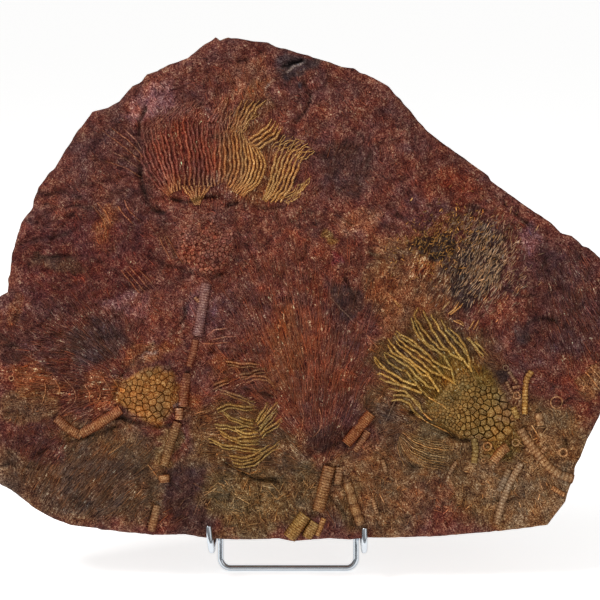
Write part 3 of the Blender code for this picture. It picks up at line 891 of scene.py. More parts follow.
def stone_material(name, scale, contrast, pale, dark, relief, painted_shade_low, painted_light_high, roughness):
    """Stained stone: crystals over the stain, streaked along the growth, with painted shade where it is low
    and painted highlight where it is high.
    """
    material, tree, shader = new_material(name)
    stain = add_node(tree, "Attribute", {"attribute_name": "stain"}).outputs["Color"]
    crest = add_node(tree, "Attribute", {"attribute_name": "crest"}).outputs["Fac"]
    streak = add_node(tree, "Attribute", {"attribute_name": "streak"}).outputs["Fac"]
    flow = add_node(tree, "Attribute", {"attribute_name": "flow"}).outputs["Vector"]
    place = add_node(tree, "TexCoord").outputs["Object"]
    stretched = add_node(tree, "Mapping", None, Vector=flow, Scale=(0.8, 0.11, 1.0)).outputs[0]
    lines = noise_node(tree, stretched, 1.0, detail=3.0, roughness=0.62, distortion=0.5)
    swing = times_node(tree, swing_node(tree, lines, 1.0), streak)
    line_light = squared_node(tree, times_node(tree, swing, 3.0))
    # The crest becomes painted shade where it is low and painted highlight where it is high.
    rise = times_node(tree, crest, painted_light_high - painted_shade_low)
    factor = times_node(tree, line_light, plus_node(tree, painted_shade_low, rise))
    crystals = add_node(tree, "Group", {"node_tree": crystal_group}, Stain=stain, Light=factor, Place=place,
                        Contrast=contrast, Pale=pale, Dark=dark,
                        **{"Stroke Scale": 0.5 * scale, "Grain Scale": 1.3 * scale})
    tree.links.new(crystals.outputs["Color"], shader.inputs["Base Color"])
    height = plus_node(tree, crystals.outputs["Height"], times_node(tree, swing, 1.4))
    bump = add_node(tree, "Bump", None, Height=height, Strength=1.0, Distance=relief * MM)
    tree.links.new(bump.outputs[0], shader.inputs["Normal"])
    polish = times_node(tree, crystals.outputs["Pale Mask"], 0.25)
    tree.links.new(math_node(tree, "SUBTRACT", roughness, polish), shader.inputs["Roughness"])
    shader.inputs["Specular IOR Level"].default_value = STONE_SPECULAR
    return material


rock_material = stone_material("red_limestone_rock", scale=820.0, contrast=1.15, pale=0.18, dark=0.6,
                               relief=0.4, painted_shade_low=0.55, painted_light_high=1.1, roughness=0.62)

SLAB_NET = 282
SIDE_ROWS = 8
DUST_SHARE = 0.55
skin, skin_faces, face_size = slab_skin(SLAB_NET, SIDE_ROWS)
skin_across, skin_up, skin_out = skin.T
skin_stain = stain_at(skin_across, skin_up)
behind = np.arange(len(skin)) >= face_size
dusty = linear(STONE_COLOURS["dust"]) * (1.0 + 0.2 * grain(skin_across, skin_up, 13.0, 71))[:, None]
skin_stain[behind] = mixed(skin_stain[behind], dusty[behind], DUST_SHARE)
skin_flow, skin_streak, _ = flow_at(skin_across, skin_up)
skin_streak[behind] = 0.0
# How high the face's grain stands: the rock's material paints shade in its lows and a highlight on its tops.
skin_crest = np.clip(0.55 + 1.1 * read_net(grain_net, skin_across, skin_up), 0.0, 1.0)
rock = new_piece(
    "rock_slab", in_room(skin_across, skin_up, skin_out), skin_faces,
    {"stain": skin_stain, "crest": skin_crest, "flow": skin_flow, "streak": skin_streak}, rock_material)
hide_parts("slab")


# ---- The crowns' arms --------------------------------------------------------------------------------
# The sea lilies' feathery arms, calcite rods of short joints that lie side by side in the bed, fanned
# out from each cup. They lie where they sank in the mud, and now stand out as ribs.

fossil_material = stone_material("fossil_calcite", scale=900.0, contrast=0.7, pale=0.4, dark=0.3, relief=0.35,
                                 painted_shade_low=0.13, painted_light_high=1.3, roughness=0.55)

# The arms of the upper left crown, in bundles: (lines to lie between, from base to tip, and count).
UPPER_LEFT_BUNDLES = [
    ([[(-102, 269), (-107, 273), (-115, 281), (-120, 288), (-123, 296), (-125, 304)],
      [(-101, 270), (-107, 282), (-113, 294), (-116, 303), (-120, 315), (-121, 321)],
      [(-99, 271.5), (-101, 281), (-105, 291), (-108, 302), (-111.5, 313.5), (-114, 324)],
      [(-95, 273), (-97, 285), (-99, 297), (-101, 309), (-103, 318), (-101, 332)],
      [(-86, 277), (-85, 288.5), (-86.5, 304), (-88.5, 314), (-91.5, 328), (-89, 336)],
      [(-77, 276), (-76.5, 288.5), (-77.5, 300.5), (-80, 310), (-82.5, 322.5), (-80, 332)],
      [(-69, 276), (-68, 288), (-70, 299), (-73, 308), (-72, 322), (-70, 330)]], 16),
    ([[(-66.5, 276.5), (-66.5, 287), (-66, 298), (-66, 306.5), (-65, 320)],
      [(-58, 280), (-54, 288.5), (-54, 297), (-54.5, 308), (-57, 322)],
      [(-53, 272.5), (-45, 285.5), (-44.5, 295.5), (-46, 305.5), (-47, 322)],
      [(-49, 270.5), (-38, 283), (-35.5, 295.5), (-38, 304), (-42, 314)],
      [(-44.5, 268.5), (-30, 281), (-26.5, 295.5), (-30, 302), (-36, 309)]], 13),
    ([[(-29, 266), (-24.5, 276), (-22, 286), (-19, 299.5), (-14.5, 310)],
      [(-26.5, 264), (-17.5, 275), (-13, 287), (-9.5, 299), (-3, 308)],
      [(-15.5, 264), (-8, 274.5), (-4.5, 283.5), (-1, 293), (4, 301)]], 7),
    ([[(-52, 322), (-49.5, 330), (-48, 337), (-45.5, 343)],
      [(-43.5, 322), (-37, 332), (-32.5, 338), (-26.5, 344)]], 5),
    ([[(-40, 312), (-32, 318), (-26, 322), (-22, 329)],
      [(-33, 305), (-24, 311), (-18, 315), (-13, 324)]], 4),
    ([[(-92, 277), (-88, 272), (-84, 266), (-81, 262)],
      [(-70, 277), (-73, 272), (-77, 267), (-79, 262)]], 7),
    ([[(-72, 326), (-67.5, 332), (-64, 337), (-60.5, 344)],
      [(-62, 326), (-60.5, 332), (-58.5, 338.5), (-56, 347)]], 4),
]
# The arms' thin tips, matted above them: (lines to lie between, count).
UPPER_LEFT_TIPS = [
    ([[(-122, 314), (-119, 322), (-113, 329)], [(-108, 324), (-104, 332), (-97, 339)],
      [(-95, 329), (-91, 337), (-84, 344)], [(-82, 328), (-78, 336), (-70, 343)]], 26),
    ([[(-66, 316), (-64, 325), (-61, 334)], [(-52, 318), (-50, 328), (-45, 338)],
      [(-44, 318), (-40, 326), (-32, 333)]], 14),
    ([[(-22, 306), (-17, 312), (-11, 317)], [(-10, 303), (-4, 308), (4, 312)],
      [(0, 296), (6, 300), (12, 303)]], 12),
    ([[(-28, 268), (-20, 268), (-10, 274)], [(-13, 265), (-5, 270), (4, 280)],
      [(-9, 262), (0, 270), (9, 284)]], 10),
]

# The ribs of the two golden crowns, each a line of its own.
LOW_MIDDLE_ARMS = [
    [(-58, 140.5), (-49.5, 138.5), (-41, 138.5), (-30, 137.5)],
    [(-47, 129.5), (-38.5, 131.5), (-31.5, 134), (-26, 134.5)],
    [(-43, 126), (-35.5, 129), (-28, 128.5), (-23, 125), (-20, 121.5)],
    [(-68, 121), (-63, 124), (-56, 126)],
    [(-63, 118.5), (-56, 116), (-49.5, 114.5), (-42.5, 111), (-34.5, 108)],
    [(-65, 103), (-58, 106.5), (-51, 106.5), (-42.5, 104.5), (-34, 105.5)],
    [(-60.5, 102), (-54.5, 97.5), (-47, 94), (-41, 92), (-35.5, 91.5)],
    [(-47, 96.5), (-41, 95), (-36.5, 93.5)],
    [(-66.5, 91.5), (-58, 90.5), (-51, 89), (-42.5, 90), (-35.5, 89)],
    [(-50.5, 88), (-44.5, 84.5), (-38.5, 84.5), (-32.5, 85)],
    [(-63, 87), (-56.5, 82.5), (-51, 80.5), (-42.5, 81.5), (-32.5, 82.5)],
    [(-51.5, 80), (-44, 78), (-37, 78), (-32.5, 79)],
    [(-71.5, 80), (-65, 78), (-58, 74.5), (-49.5, 74.5), (-41, 73), (-33.5, 71), (-28, 72.5), (-24, 75)],
    [(-55, 67), (-47, 65.5), (-40.5, 65.5), (-33.5, 69), (-26.5, 73)],
    [(-52.5, 61.5), (-44.5, 60), (-35.5, 62), (-29.5, 67.5), (-21, 74), (-15.5, 78)],
    [(-34.5, 93), (-31, 98.5), (-27.5, 104), (-25, 108.5)],
    [(-33, 91.5), (-26.5, 98.5), (-21.5, 105), (-17, 108)],
    [(-32, 87), (-26.5, 92.5), (-22.5, 97.5), (-18, 102)],
    [(-31, 83.5), (-24.5, 88.5), (-19, 92), (-14, 95.5)],
]
RIGHT_ARMS = [
    [(133.5, 132), (131.5, 138), (130.5, 146), (125.5, 156.5), (120, 162.5), (115.5, 166.5)],
    [(131.5, 136.5), (131, 144), (122.5, 155), (114, 163.5), (110, 173)],
    [(131.5, 135.5), (124, 144.5), (116.5, 154.5), (108.5, 165.5), (102, 177)],
    [(126, 141), (118, 145.5), (112.5, 150), (104.5, 162), (99, 173), (96, 180)],
    [(114, 149), (109, 149.5), (99, 160.5), (90, 173), (88.5, 177), (92.5, 182)],
    [(120, 124.5), (117, 135.5), (111, 145), (102, 152), (96, 156), (93.5, 163.5), (89, 171.5)],
    [(106, 148.5), (102, 149.5), (97, 155), (92, 158.5), (90, 164), (86.5, 174)],
    [(117, 134.5), (108, 137), (98.5, 146), (91, 153.5), (80.5, 160.5), (74.5, 163.5)],
    [(98.5, 145.5), (92.5, 150.5), (82, 156.5), (77, 161.5)],
    [(121, 122.5), (109.5, 130), (106, 135.5), (92.5, 146), (83, 152), (78.5, 155), (74, 162)],
    [(109.5, 129.5), (104.5, 130.5), (91.5, 141.5), (82, 149), (77, 153), (75, 156.5)],
    [(107.5, 116.5), (102, 127), (94, 135), (82, 143), (73, 150.5), (68.5, 158)],
    [(99, 128.5), (94.5, 130), (85, 139.5), (76, 144.5), (71, 147.5), (68, 153.5)],
    [(104.5, 119.5), (98.5, 121), (89.5, 130), (83.5, 136.5), (71, 144), (66, 147.5)],
    [(98.5, 113.5), (90, 123), (82, 133), (71.5, 136.5), (68, 141), (65, 146)],
    [(90, 122), (85, 123), (72.5, 130), (63, 137), (58.5, 144)],
    [(68.5, 132.5), (62, 135.5), (59.5, 139.5), (57, 143.5)],
    [(94.5, 116.5), (87.5, 118), (75.5, 123.5), (68, 128.5), (64, 131), (60, 130)],
    [(86.5, 119.5), (74.5, 123), (68, 124), (62, 127.5)],
    [(95.5, 100.5), (91.5, 108), (80.5, 117.5), (75.5, 118), (68.5, 119)],
    [(93.5, 103.5), (89.5, 109), (84.5, 113.5), (78.5, 114.5), (72.5, 113.5)],
    [(95.5, 96), (89.5, 100.5), (86, 106), (80.5, 110.5), (76, 110.5), (71, 109.5)],
    [(130, 159), (133.5, 154.5), (138, 150), (143, 144)],
    [(136, 156), (139.5, 152), (142.5, 149)],
]


# Small arms that break off from the crowns and lie scattered round them.
LOOSE_ARMS = [
    [(-123, 294), (-134, 305), (-145, 313), (-154, 320)],
    [(-122, 299), (-131, 310), (-140, 317), (-150, 324)],
    [(-123, 305), (-129, 314), (-137, 321)],
    [(-124, 289), (-137, 299), (-150, 305)],
    [(-124, 284), (-138, 292), (-152, 296)],
    [(-110, 237), (-106, 229), (-100, 218)],
    [(-107, 239), (-102, 229), (-95, 218)],
    [(-104, 238), (-99, 229), (-91, 216)],
    [(-139, 211), (-132, 202), (-123, 191)],
    [(-136, 212), (-128, 203), (-120, 193)],
    [(-133, 214), (-124, 204), (-115, 194)],
    [(-128, 214), (-119, 205), (-112, 197)],
    [(-161, 126), (-156.5, 120), (-155.5, 113.5), (-158.5, 107)],
    [(-154, 128), (-150, 121), (-146, 115)],
    [(-149, 130), (-145, 126), (-141, 119)],
    [(-168, 122), (-164, 116), (-164, 108)],
    [(-186, 129), (-177, 119), (-173, 113), (-176, 107), (-183, 102), (-193, 94)],
    [(-199, 124), (-198, 116), (-201, 108)],
    [(-191, 126), (-187, 119), (-189, 112)],
    [(-149.5, 68), (-138.5, 75)],
    [(-69, 157), (-59, 159), (-48, 160)],
    [(-73, 160), (-66, 165), (-56, 166)],
    [(-76, 154), (-66, 154), (-55, 155)],
    [(23, 191), (31, 182), (41, 172), (48, 165)],
    [(68, 194), (74, 188), (80, 182)],
    [(-162, 262), (-156, 255), (-151, 246), (-153, 236)],
    [(-158, 264), (-151, 256), (-147, 246)],
    [(-142, 261), (-137, 254), (-129, 246)],
    [(-137, 266), (-133, 257), (-125, 250)],
    [(-56, 60), (-48, 55), (-39, 52), (-30, 57)],
    [(52, 160.5), (56.5, 155), (62, 150)],
    [(53.5, 159.5), (59.5, 156.5), (65.5, 158)],
    [(55, 156.5), (61, 153.5), (67, 156)],
    [(60.5, 108), (62.5, 112), (65, 114.5)],
    [(74, 110), (70, 101), (66, 91)],
    [(0, 110), (3, 99), (2, 88), (-3, 82)],
    [(14, 105), (17, 98), (16, 87), (9, 80)],
    [(221, 133), (229, 124), (234, 117)],
    [(226, 136), (233, 128), (237, 122)],
    [(217, 130), (224, 121), (229, 115)],
]
GOLD_ARMS = [
    [(111, 180.5), (114, 184), (116.5, 187)],
    [(115.5, 177), (119.5, 180), (122.5, 184), (124, 186.5)],
    [(117, 176.5), (122.5, 180.5), (125.5, 183.5), (127, 185.5)],
    [(119.5, 172), (124, 170), (127.5, 167.5)],
    [(121.5, 172.5), (125.5, 171), (128.5, 168)],
    [(131.5, 165), (133.5, 168), (136, 172.5)],
    [(135, 165), (137.5, 168.5), (139.5, 172.5)],
    [(73, 188), (75.5, 185), (78.5, 182)],
    [(133.5, 132), (139, 119.5), (136.5, 114), (133, 109)],
    [(120, 124), (125.5, 115.5), (132, 108)],
    [(98.5, 113.5), (103, 110.5), (110.5, 106.5), (117, 100)],
    [(95.5, 100.5), (98.5, 97.5), (103, 94)],
    [(88, 100), (97, 94), (104.5, 90), (115, 85.5), (120, 80.5)],
    [(131, 160), (136, 150), (143, 141)],
    [(136, 158), (141, 150), (147, 144)],
]
THIN_FAN = [
    [(76, 78), (77, 67), (84, 55)],
    [(77, 80), (84, 66), (98, 58), (115, 55)],
    [(78, 83), (89, 73), (105, 67), (122, 67)],
    [(81, 87), (92, 81), (106, 77), (119, 76)],
]


def smooth_routes(routes, steps, wobble=0.0, seed=0):
    """Each route as equally spaced points, its corners eased by averaging neighbours over and over.

    A wobble is two sine waves added across the line, of its own lengths and phases for each route.
    """
    shares = np.linspace(0.0, 1.0, steps)
    lines = []
    for route in routes:
        line = np.array(route, float)
        reached = np.concatenate([[0.0], np.cumsum(np.hypot(*np.diff(line, axis=0).T))])
        lines.append(np.stack([np.interp(shares, reached / reached[-1], line[:, k]) for k in (0, 1)], -1))
    lines = np.array(lines)
    for _ in range(steps // 2):
        lines[:, 1:-1] = 0.25 * lines[:, :-2] + 0.5 * lines[:, 1:-1] + 0.25 * lines[:, 2:]
    return wobbled(lines, wobble, seed)


def run_of(lines):
    """The unit vector along each line at each of its points."""
    run = np.gradient(lines, axis=1)
    return run / (np.linalg.norm(run, axis=-1, keepdims=True) + 1e-9)


def right_of(lines):
    """The unit vector to the right of each line at each of its points."""
    run = run_of(lines)
    return np.stack([run[..., 1], -run[..., 0]], -1)


def length_along(lines):
    """How far along its line each point lies."""
    step = np.linalg.norm(np.diff(lines, axis=1), axis=-1)
    return np.concatenate([np.zeros((len(lines), 1)), np.cumsum(step, axis=1)], axis=1)


# The two waves of a wobble, as rows of length and weight.
WOBBLE_WAVES = ((13.0, 1.0), (6.5, 0.5))


def wobbled(lines, wobble, seed):
    """Lines pushed sideways by two sine waves of their own lengths and phases."""
    rng = np.random.default_rng(seed)
    along = length_along(lines)
    push = np.zeros(lines.shape[:2])
    for long, weight in WOBBLE_WAVES:
        length = long * rng.uniform(0.8, 1.25, (len(lines), 1))
        phase = rng.uniform(0.0, 2.0 * math.pi, (len(lines), 1))
        push += weight * wobble * np.sin(2.0 * math.pi * along / length + phase)
    return lines + push[..., None] * right_of(lines)


def spread_between(guides, count, steps, wobble=0.0, seed=0):
    """Arms side by side: each point goes from guide to guide as the arm's number goes from first to last."""
    lines = smooth_routes(guides, steps)
    place = np.linspace(0.0, len(guides) - 1.0, count)
    low = np.minimum(place.astype(int), len(guides) - 2)
    share = (place - low)[:, None, None]
    return wobbled(lines[low] * (1.0 - share) + lines[low + 1] * share, wobble, seed)


def lying_rods(lines, half_width, height, pitch=9.0, points=7, lift=0.0, groove=0.0, taper=(0.7, 0.35),
               ground=bed_height):
    """Rods lying in the rock: rings of points carried along lines over the rock face.

    A ring's point at each turn lies half_width * cos(turn) to the right of the line, and stands
    height * sin(turn) above the rock. Both shrink by a narrow groove at every joint, and towards each end.
    """
    side = right_of(lines)
    along = length_along(lines)
    share = along / along[:, -1:]
    joint = (0.5 + 0.5 * np.cos(2.0 * math.pi * along / pitch)) ** 4
    ends = taper[0] + (1.0 - taper[0]) * smooth(share / 0.15)
    ends = ends * (taper[1] + (1.0 - taper[1]) * smooth((1.0 - share) / 0.3))
    size = (1.0 - groove * joint) * ends
    turns = np.radians(np.linspace(200.0, -20.0, points))
    wide = (np.reshape(half_width, (-1, 1)) * size)[..., None] * np.cos(turns)
    tall = (np.reshape(height, (-1, 1)) * size)[..., None] * np.sin(turns)
    base = ground(lines[..., 0], lines[..., 1]) + lift
    across = lines[..., 0, None] + side[..., 0, None] * wide
    up = lines[..., 1, None] + side[..., 1, None] * wide
    out = base[..., None] + tall
    # The crest: highest on a rod's top, nothing at its sides, less at its joints; the material paints shade
    # where it is low and a highlight where it is high.
    crest = np.clip(np.sin(turns), 0.0, 1.0) * (1.0 - min(6.0 * groove, 0.85) * joint[..., None])
    count, steps = lines.shape[:2]
    index = np.arange(count * steps * points).reshape(count, steps, points)
    nxt = np.roll(index, -1, axis=2)
    walls = np.stack([index[:, :-1], nxt[:, :-1], nxt[:, 1:], index[:, 1:]], -1).reshape(-1, 4)
    caps = np.concatenate([index[:, 0, ::-1], index[:, -1]])
    place = np.stack([across, up, out], -1).reshape(-1, 3)
    return place, [walls, caps], crest.reshape(-1), np.repeat(np.arange(count), steps * points)


def fossil_piece(name, parts, brightness=1.0, gold=0.0, seed=1, tone=0.22, warm=0.5, material=None,
                 crest_colour="gold", own_colours=None):
    """Joins rods, plates or crumbs in one piece, coloured by the stain below them.

    Each rod or plate has a tone and a warmth of its own, drawn at random. Gold is how far their crests
    turn to the crest colour, as a number or as a function of the place. A part may have its own colour,
    which covers most of the stain.
    """
    rng = np.random.default_rng(seed)
    places, groups, crests, stains = [], {}, [], []
    offset = 0
    for number, (place, faces, crest, owner) in enumerate(parts):
        count = owner.max() + 1
        tones = brightness * np.exp(rng.normal(0.0, tone, count))
        warmths = rng.normal(0.0, warm, (count, 1)) * WARMTH
        colour = stain_at(place[:, 0], place[:, 1])
        share = gold(place[:, 0], place[:, 1]) if callable(gold) else gold
        share = (share * crest**1.5)[:, None]
        colour = colour * (1.0 - share) + linear(STONE_COLOURS[crest_colour]) * share
        if own_colours:
            colour = 0.4 * colour + 0.6 * linear(STONE_COLOURS[own_colours[number]])
        for group in faces:
            groups.setdefault(group.shape[1], []).append(group + offset)
        places.append(place)
        crests.append(crest)
        stains.append(colour * (tones[:, None] * np.exp(warmths))[owner])
        offset += len(place)
    place = np.concatenate(places)
    values = {"stain": np.concatenate(stains), "crest": np.concatenate(crests),
              "flow": np.zeros((len(place), 3)), "streak": np.zeros(len(place))}
    faces = [np.concatenate(group) for group in groups.values()]
    piece = new_piece(name, in_room(*place.T), faces, values, material or fossil_material)
    return piece


def golden_to_the_right(across, up):
    """The upper left crown's gold: little on the left, more on the right and at the foot of the arms."""
    foot = smooth((290.0 - up) / 18.0) * smooth((across + 112.0) / 20.0)
    return np.maximum(0.9 * smooth((across + 70.0) / 42.0), 0.55 * foot)


def golden_downwards(across, up):
    """The low middle crown's gold: much on its lowest arms, little on its highest."""
    return 0.25 + 0.55 * smooth((122.0 - up) / 24.0)


def pinnules_of(lines, spacing, length, lean, half_width, seed):
    """Side branches: from each arm, at even steps and to both sides, a short line leaning forwards."""
    rng = np.random.default_rng(seed)
    step = np.linalg.norm(np.diff(lines, axis=1), axis=-1).mean()
    every = max(1, int(round(spacing / step)))
    starts, headings = (values[:, 3:-8:every].reshape(-1, 2) for values in (lines, run_of(lines)))
    angle = np.arctan2(headings[:, 1], headings[:, 0])
    branches = []
    for sign in (-1.0, 1.0):
        turned = angle + sign * math.radians(lean) + rng.normal(0.0, 0.12, len(angle))
        long = length * rng.uniform(0.7, 1.15, len(angle))
        share = np.linspace(0.0, 1.0, 4)
        reach = (long[:, None] * share)[..., None]
        bend = -sign * 0.35 * share**2
        across = np.cos(turned[:, None] + bend)
        branches.append(starts[:, None] + reach * np.stack([across, np.sin(turned[:, None] + bend)], -1))
    return lying_rods(np.concatenate(branches), half_width, 1.6 * half_width, points=3, taper=(1.0, 0.4))


def single_arms(routes, wobble, seed, half_width, height):
    """Arms that lie apart, each wobbled on its own."""
    lines = [smooth_routes([route], 40, wobble, seed + k) for k, route in enumerate(routes)]
    return [lying_rods(line, half_width, height, pitch=1.3, points=5, groove=0.05) for line in lines]


upper_lines = [spread_between(guides, count, steps=100, wobble=0.35, seed=20 + k)
               for k, (guides, count) in enumerate(UPPER_LEFT_BUNDLES)]
upper_arms = [lying_rods(lines, half_width=1.25, height=1.9, pitch=1.5, groove=0.06) for lines in upper_lines]
upper_pinnules = [pinnules_of(lines, spacing=1.5, length=2.6, lean=38.0, half_width=0.42, seed=30 + k)
                  for k, lines in enumerate(upper_lines[:3])]
tip_lines = [spread_between(guides, count, steps=40, wobble=0.7, seed=40 + k)
             for k, (guides, count) in enumerate(UPPER_LEFT_TIPS)]
upper_tips = [lying_rods(lines, half_width=0.6, height=1.0, points=5, taper=(0.6, 0.5))
              for lines in tip_lines]
fossil_piece("crown_upper_left_arms", upper_arms + upper_pinnules + upper_tips, 1.15, golden_to_the_right,
             seed=2, tone=0.12, warm=0.3)

# More ribs of the low middle crown lie beside those above, a little lower and further out.
RIBS_BESIDE = [1.0, -2.6]
low_lines = smooth_routes(LOW_MIDDLE_ARMS, 90, wobble=0.25, seed=24)
low_arms = lying_rods(low_lines, half_width=1.15, height=1.9, pitch=1.6, groove=0.06)
between_lines = wobbled(low_lines + RIBS_BESIDE, wobble=0.25, seed=27)
between_arms = lying_rods(between_lines, half_width=0.9, height=1.5, pitch=1.6, groove=0.06)
low_pinnules = pinnules_of(low_lines, spacing=1.6, length=3.0, lean=40.0, half_width=0.42, seed=34)
fossil_piece("crown_low_middle_arms", [low_arms, between_arms, low_pinnules], 1.02, golden_downwards,
             seed=3, tone=0.12, warm=0.3, crest_colour="olive_gold")

right_lines = smooth_routes(RIGHT_ARMS, 100, wobble=0.3, seed=25)
right_arms = lying_rods(right_lines, half_width=1.3, height=2.5, pitch=1.4, groove=0.06, taper=(0.9, 0.5))
right_pinnules = pinnules_of(right_lines, spacing=1.7, length=2.4, lean=40.0, half_width=0.4, seed=35)
fossil_piece("crown_right_arms", [right_arms, right_pinnules], 1.3, gold=0.8, seed=4, tone=0.12, warm=0.3,
             crest_colour="olive_gold")

loose = single_arms(LOOSE_ARMS, wobble=0.15, seed=60, half_width=0.75, height=1.1)
golden = single_arms(GOLD_ARMS, wobble=0.1, seed=160, half_width=0.85, height=1.3)
thin_lines = spread_between(THIN_FAN, 17, steps=40, wobble=0.25, seed=26)
thin_fan = lying_rods(thin_lines, half_width=0.5, height=0.8, points=5)
fossil_piece("loose_arms", loose, 1.35, gold=0.15, seed=12)
fossil_piece("loose_golden_arms", golden, 1.2, gold=0.8, seed=13)
fossil_piece("thin_fan_of_arms", [thin_fan], 1.2, gold=0.3, seed=14)


# ---- The fine growth ---------------------------------------------------------------------------------
# Threads as thin as hair, the side branches of the arms, matted in fans between the crowns, and the
# crumb of loose joints and crystals all over the bed. All of it is calcite in the face of the rock.

thread_material = stone_material("thread_calcite", scale=900.0, contrast=0.4, pale=0.3, dark=0.2, relief=0.2,
                                 painted_shade_low=0.3, painted_light_high=1.2, roughness=0.6)
MOST_TURN = 0.35
THREAD_EDGE = 0.965
CRUMB_EDGE = 0.96
CRUMB_GAP = 6.0


def drawn_along(start, length, steps, fan=None):
    """Lines drawn along the growth: from each start, equal steps along the heading of the growth there.

    That is the heading away from the point a given fan spreads from, or else the flow over the face.
    """
    places = [start]
    before = heading_at(*start.T, fan)
    for _ in range(steps):
        here = places[-1]
        heading = heading_at(*here.T, fan)
        turn = (heading - before + math.pi) % (2.0 * math.pi) - math.pi
        before = before + np.clip(turn, -MOST_TURN, MOST_TURN)
        run = np.stack([np.cos(before), np.sin(before)], -1)
        places.append(here + run * (length / steps)[:, None])
    return np.stack(places, axis=1)


def heading_at(across, up, fan):
    """The heading of the growth: straight from a fan's focus, or the flow's where no fan is given."""
    if fan is None:
        return flow_at(across, up)[2]
    return np.arctan2(up - FANS[fan][0][1], across - FANS[fan][0][0]) + 0.25 * grain(across, up, 22.0, 46)


def threads(start, length, half_width, seed, fan=None, scatter=0.1):
    """Threads from given starts, of random length and width, turned a little off the growth.

    Those that would leave the face or start at a hook are left out.
    """
    rng = np.random.default_rng(seed)
    lines = drawn_along(start, length * rng.uniform(0.5, 1.1, len(start)), 5, fan)
    angle = rng.normal(0.0, scatter, len(start))[:, None]
    a, b = (lines - start[:, None]).transpose(2, 0, 1)
    lines = start[:, None] + np.stack(turned_by(a, b, angle), -1)
    on_face = share_of_reach(lines[..., 0], lines[..., 1]).max(axis=1) < THREAD_EDGE
    clear = (beside_hooks(lines[:, 0, 0]) > HOOK_GAP) | (lines[:, 0, 1] > HOOK_ROOM)
    lines = lines[on_face & clear]
    wide = half_width * rng.uniform(0.7, 1.4, len(lines))
    return lying_rods(lines, wide, wide * 1.3, points=3, taper=(0.4, 0.25), ground=rock_height)


def starts_in_oval(centre, half_size, turn, count, seed):
    """Random places about the middle of a turned oval, by the bell curve, most of them inside it."""
    a, b = np.random.default_rng(seed).normal(0.0, 0.5, (2, count)) * np.reshape(half_size, (2, 1))
    return np.stack(turned_by(a, b, math.radians(turn)), -1) + centre


def starts_on_face(count, seed):
    """Random places all over the face, evenly spread."""
    rng = np.random.default_rng(seed)
    angle = rng.uniform(0.0, 2.0 * math.pi, 2 * count)
    reach = star_radius(OUTLINE, OUTLINE_CENTRE, angle)
    kept = rng.uniform(0.0, reach.max() ** 2, 2 * count) < reach**2
    reach, angle = reach[kept][:count], angle[kept][:count]
    out = np.sqrt(rng.uniform(0.0, 0.96, len(angle))) * reach
    return np.stack([OUTLINE_CENTRE[0] + out * np.cos(angle), OUTLINE_CENTRE[1] + out * np.sin(angle)], -1)


# How densely each fan is grown: (fan, count, length, half width). The dark patch's fan has its own threads.
FAN_THREADS = [(0, 1500, 20.0, 0.42), (1, 500, 10.0, 0.4), (2, 500, 10.0, 0.4), (3, 500, 10.0, 0.42),
               (4, 700, 13.0, 0.45), (6, 900, 12.0, 0.45), (7, 350, 13.0, 0.45)]
DARK_PATCH_FAN = 5


def fan_threads(number, count, length, half_width):
    """Threads all over one fan."""
    _, centre, half_size, turn = FANS[number]
    starts = starts_in_oval(centre, half_size, turn, count, 81 + number)
    return threads(starts, length, half_width, 181 + number, number)


fossil_piece("fan_threads", [fan_threads(*row) for row in FAN_THREADS], 1.08, gold=0.05, seed=5, tone=0.28,
             warm=0.7, material=thread_material)
pale_starts = starts_in_oval((143, 214), (27, 38), turn=-18, count=900, seed=86)
pale_threads = threads(pale_starts, 5.4, half_width=0.44, seed=186, fan=DARK_PATCH_FAN, scatter=0.25)
fossil_piece("threads_dark_patch", [pale_threads], 1.2, gold=0.85, seed=6, tone=0.4, warm=0.7,
             material=thread_material, crest_colour="cream")
orange_starts = starts_in_oval((112, 233), (40, 24), turn=25, count=420, seed=87)
orange_threads = threads(orange_starts, 3.2, half_width=0.6, seed=187, fan=DARK_PATCH_FAN, scatter=0.8)
fossil_piece("threads_orange_patch", [orange_threads], 1.0, gold=0.9, seed=17, tone=0.4, warm=0.4,
             material=thread_material, crest_colour="gold")
for half in (0, 1):
    stroke_starts = starts_on_face(4200, 92 + half)
    short_strokes = threads(stroke_starts, 6.0, half_width=0.5, seed=192 + half, scatter=0.3)
    fossil_piece(f"crystal_strokes_{half + 1}", [short_strokes], 1.05, seed=7 + half, tone=0.3, warm=0.6,
                 material=thread_material)


def crumbs(starts, radius, seed):
    """Low domes with ragged corners: six corners at the foot, six nearer and higher, and a top."""
    rng = np.random.default_rng(seed)
    count = len(starts)
    size = radius * np.exp(rng.normal(0.0, 0.3, count))
    turn = rng.uniform(0.0, 2.0 * math.pi, (count, 1)) + np.linspace(0.0, 2.0 * math.pi, 6, endpoint=False)
    ragged = rng.uniform(0.7, 1.3, (count, 6)) * size[:, None]
    base = rock_height(starts[:, 0], starts[:, 1])[:, None]
    rings = []
    for share, level in ((1.0, -0.3), (0.7, 0.45)):
        across = starts[:, :1] + share * ragged * np.cos(turn)
        up = starts[:, 1:] + share * ragged * np.sin(turn)
        level = np.broadcast_to(base + level * size[:, None], across.shape)
        rings.append(np.stack([across, up, level], -1))
    top = np.stack([starts[:, 0], starts[:, 1], base[:, 0] + 0.8 * size], -1)[:, None]
    place = np.concatenate(rings + [top], axis=1)
    index = np.arange(count * 13).reshape(count, 13)
    foot, middle, peak = index[:, :6], index[:, 6:12], index[:, 12:].repeat(6, axis=1)
    walls = np.stack([foot, np.roll(foot, -1, 1), np.roll(middle, -1, 1), middle], -1).reshape(-1, 4)
    tops = np.stack([middle, np.roll(middle, -1, 1), peak], -1).reshape(-1, 3)
    # The crest rises from a crumb's foot to its top: painted shade at the foot, painted highlight on top.
    crest = np.tile(np.repeat([0.3, 0.8, 1.0], [6, 6, 1]), count)
    return place.reshape(-1, 3), [walls, tops, foot[:, ::-1]], crest, np.repeat(np.arange(count), 13)


